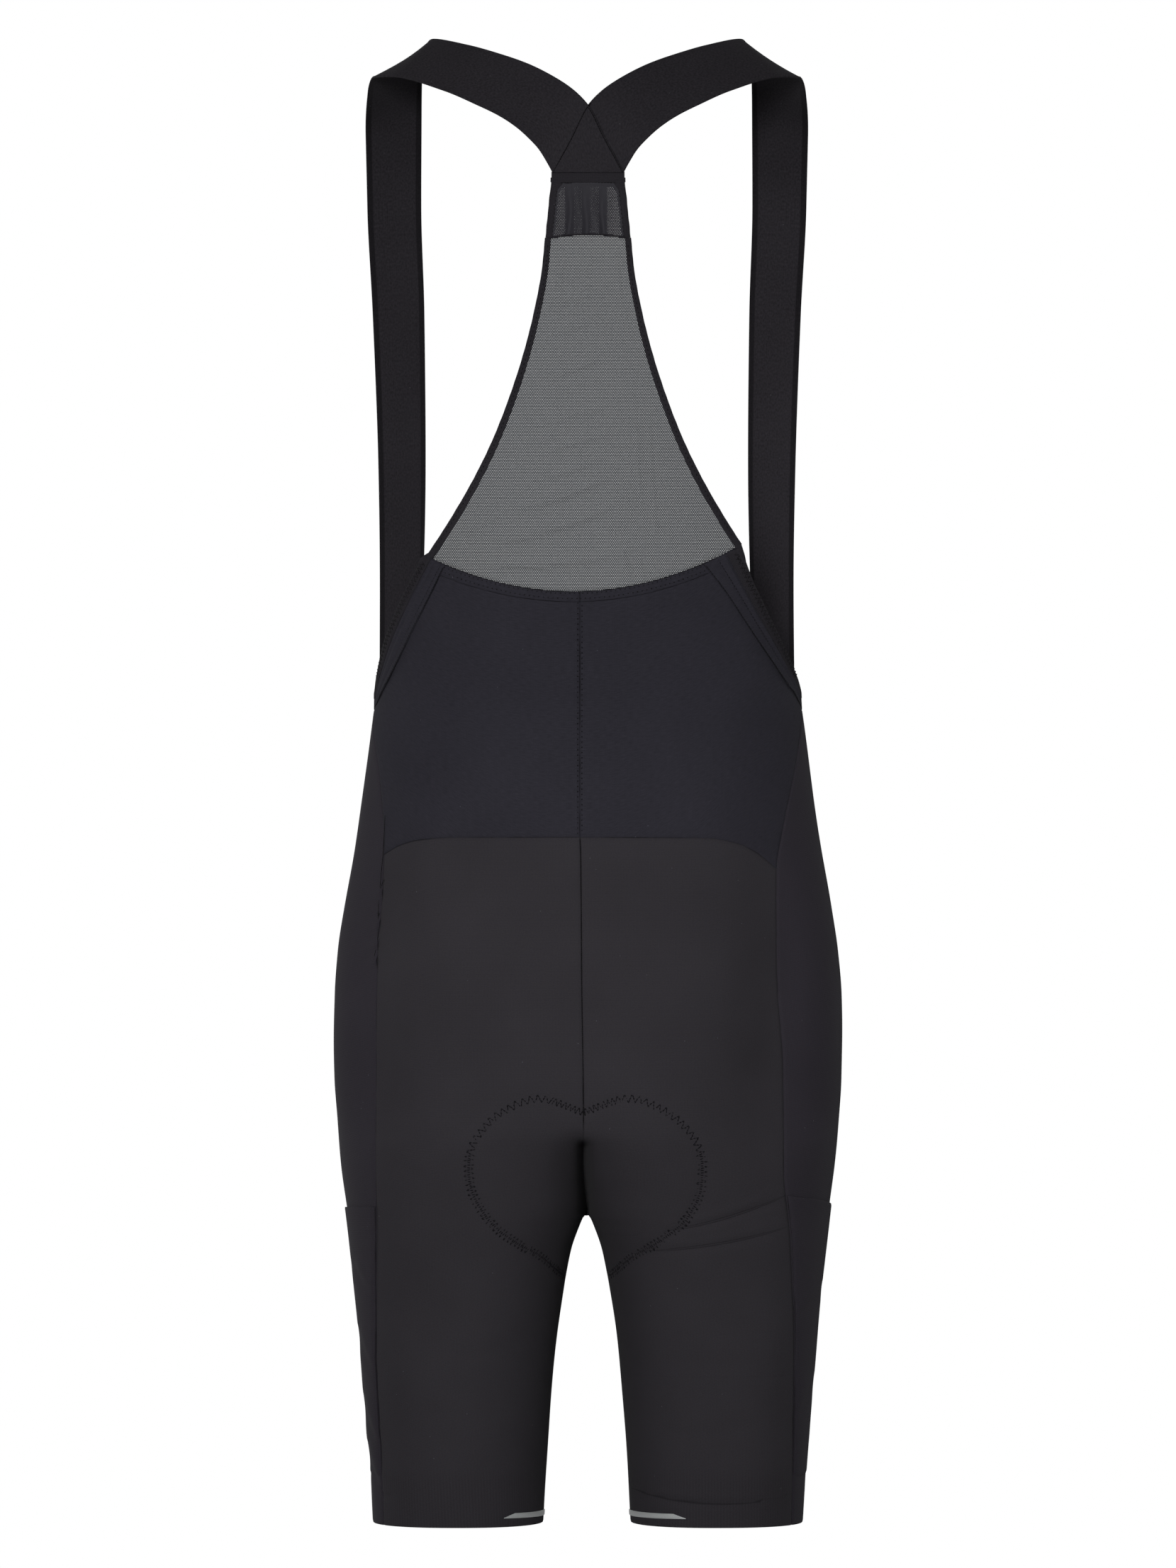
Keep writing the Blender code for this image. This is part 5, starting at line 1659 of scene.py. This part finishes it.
SECOND_ROW = {LEFT: 0.17, RIGHT: 0.355}     # how far across the band it runs
band_rows, band_hole_shades = [], []
for side in SIDES:
    band_rows.append(straight(*band_run(side, 0.03, 0.02, 0.99, 0.1), 2.1, 0.72))
    band_rows.append(straight(*band_run(side, SECOND_ROW[side], 0.03, 0.7, 0.05), 2.4, 0.4))
    path, outs = band_run(side, 0.83, 0.03, 0.8, 0.3)
    band_hole_shades.append(holes(zigzag(path, outs, 3.8, 3.4, 3)))
sew("stitches_armholes", band_rows, 0.32)
# the needle holes are dots of the dark thread: painted shade of the holes
sew("needle_hole_shade_armholes", band_hole_shades, 0.46)

# %% Stitches of the straps, yoke and net edges
crossing = np.linspace(0, 1, 2000)
under_edge = on_strap(RIGHT, crossing, 0.0)
under_edge = under_edge[(crossing > SHOULDER_T) & (under_edge[:, 0] < 1)][::6]
over_cloth = on_strap(LEFT, crossing[crossing > SHOULDER_T, None], np.linspace(0, 1, 30))
over_cloth = over_cloth.reshape(-1, 3)
apart = np.linalg.norm(under_edge[:, None, ::2] - over_cloth[None, :, ::2], axis=-1)
path = under_edge + (1.0, 0.0, 0.0)
path[:, 1] = over_cloth[apart.argmin(axis=1), 1] - WEBBING - 0.15
path = path[apart.min(axis=1) < 1.5]
strap_rows = [straight(path, to_back(path), 1.7, 0.62)]
over_edge = on_strap(LEFT, crossing, 0.025)
over_edge = over_edge[(crossing > SHOULDER_T) & (-over_edge[:, 2] > 50) & (over_edge[:, 0] > 0)]
over_edge[:, 1] -= WEBBING + 0.1
strap_rows.append(straight(over_edge, to_back(over_edge), 1.7, 0.62))
sew("stitches_straps", strap_rows, 0.42)

yoke_rows = []
for drop, half in ((95.2, 24.0), (102.6, 18.5)):
    path = level_path(half, BAND_DEPTH + 2.1, drop)
    yoke_rows.append(straight(path, to_back(path), 2.0, 0.7))
for side in SIDES:
    path, outs, _ = yoke_edge_path(side, 0.78, 0.55)
    yoke_rows.append(straight(path[8:], outs[8:], 3.0, 0.4))
    path, outs = net_edge_path(side, BINDING_WIDTH * 0.62, 0.32)
    yoke_rows.append(straight(path[3:-3], outs[3:-3], 3.2, 0.35))
sew("stitches_yoke", yoke_rows, 0.3)

# %% [markdown]
# ## Floor, light and camera
# The garment floats at the height of a wearer's shoulders, as if filled by one, over a plain
# pale floor. In a catalogue studio the garment gets its shape from one wide soft lamp beside
# the camera, two weaker ones a little behind it, and the white backdrop itself, while the
# room behind the camera stays dim. So the world is white where it is seen, and where it
# lights it is brighter behind the garment than in front of it. The camera is level with the
# garment's middle and far off, so that there is hardly any perspective. The floor has a
# light of its own below it, like a studio's lit sweep, which is as white as the backdrop at
# its edge and does not reach the garment.

# %% Floor
FLOOR_DROP, FLOOR_RADIUS = 1.45, 2.2
bm = bmesh.new()
bmesh.ops.create_circle(bm, cap_ends=True, segments=128, radius=FLOOR_RADIUS)
bmesh.ops.translate(bm, vec=(0, 0, -FLOOR_DROP), verts=bm.verts)
floor = put("studio_floor", mesh_of("studio_floor", bm))
floor_finish, tree, shader = new_finish(
    "lit_white_studio_sweep", Base_Color=linear("#e4e4e4"), Roughness=0.9,
    Specular_IOR_Level=MATT, Emission_Color=linear("#ffffff"))
away = add(tree, "TexCoord", out="Object")
away = add(tree, "VectorMath", [away], "Value", operation="LENGTH")
FLOOR_EDGE = math.hypot(FLOOR_DROP, FLOOR_RADIUS)       # how far off the floor's rim is
lit = add(tree, "MapRange", [away, FLOOR_DROP, FLOOR_EDGE, 0.6, 1.0])
tree.links.new(lit, shader.inputs["Emission Strength"])
floor.data.materials.append(floor_finish)
floor.visible_diffuse = floor.visible_glossy = False

# %% Light and camera
DIM, BRIGHT = 0.13, 0.38
scene = bpy.context.scene
world = bpy.data.worlds.new("white_studio")
world.use_nodes = True
sky = world.node_tree
room = add(sky, "TexCoord", out="Generated")
room = add(sky, "SeparateXYZ", [room], "Y")
room = add(sky, "MapRange", [room, -0.1, 0.5, DIM, BRIGHT])
seen = add(sky, "LightPath", out="Is Camera Ray")
strength = add(sky, "Math", [room, seen], operation="MAXIMUM")
sky.links.new(strength, sky.nodes["Background"].inputs["Strength"])
sky.nodes["Background"].inputs["Color"].default_value = (1, 1, 1, 1)
scene.world = world
scene.view_settings.view_transform = "Standard"


def add_lamp(name, place, aim, size, watts, spread=180):
    """A round softbox. A honeycomb in front of it narrows its light to spread degrees."""
    lamp = bpy.data.lights.new(name, "AREA")
    lamp.shape, lamp.size, lamp.energy, lamp.spread = "DISK", size, watts, math.radians(spread)
    holder = put(name, lamp)
    holder.location = place
    holder.rotation_euler = (Vector(aim) - Vector(place)).to_track_quat("-Z", "Y").to_euler()


add_lamp("camera_softbox", (-0.6, -5.0, 0.3), (0, 0, -0.5), 1.6, 6.9, spread=26)
add_lamp("left_softbox", (-4.1, 2.9, 0.0), (0, 0, -0.5), 1.6, 70)
add_lamp("right_softbox", (4.1, 2.9, 0.0), (0, 0, -0.5), 1.6, 45)

DISTANCE, MIDDLE, HALF_HEIGHT = 6.5, -0.5035, 0.5309
camera_data = bpy.data.cameras.new("camera")
camera_data.sensor_width = 36.0
camera_data.lens = camera_data.sensor_width / 2 * DISTANCE / HALF_HEIGHT
camera = put("camera", camera_data)
camera.location = (0, -DISTANCE, MIDDLE)
camera.rotation_euler = (math.radians(90), 0, 0)
scene.camera = camera
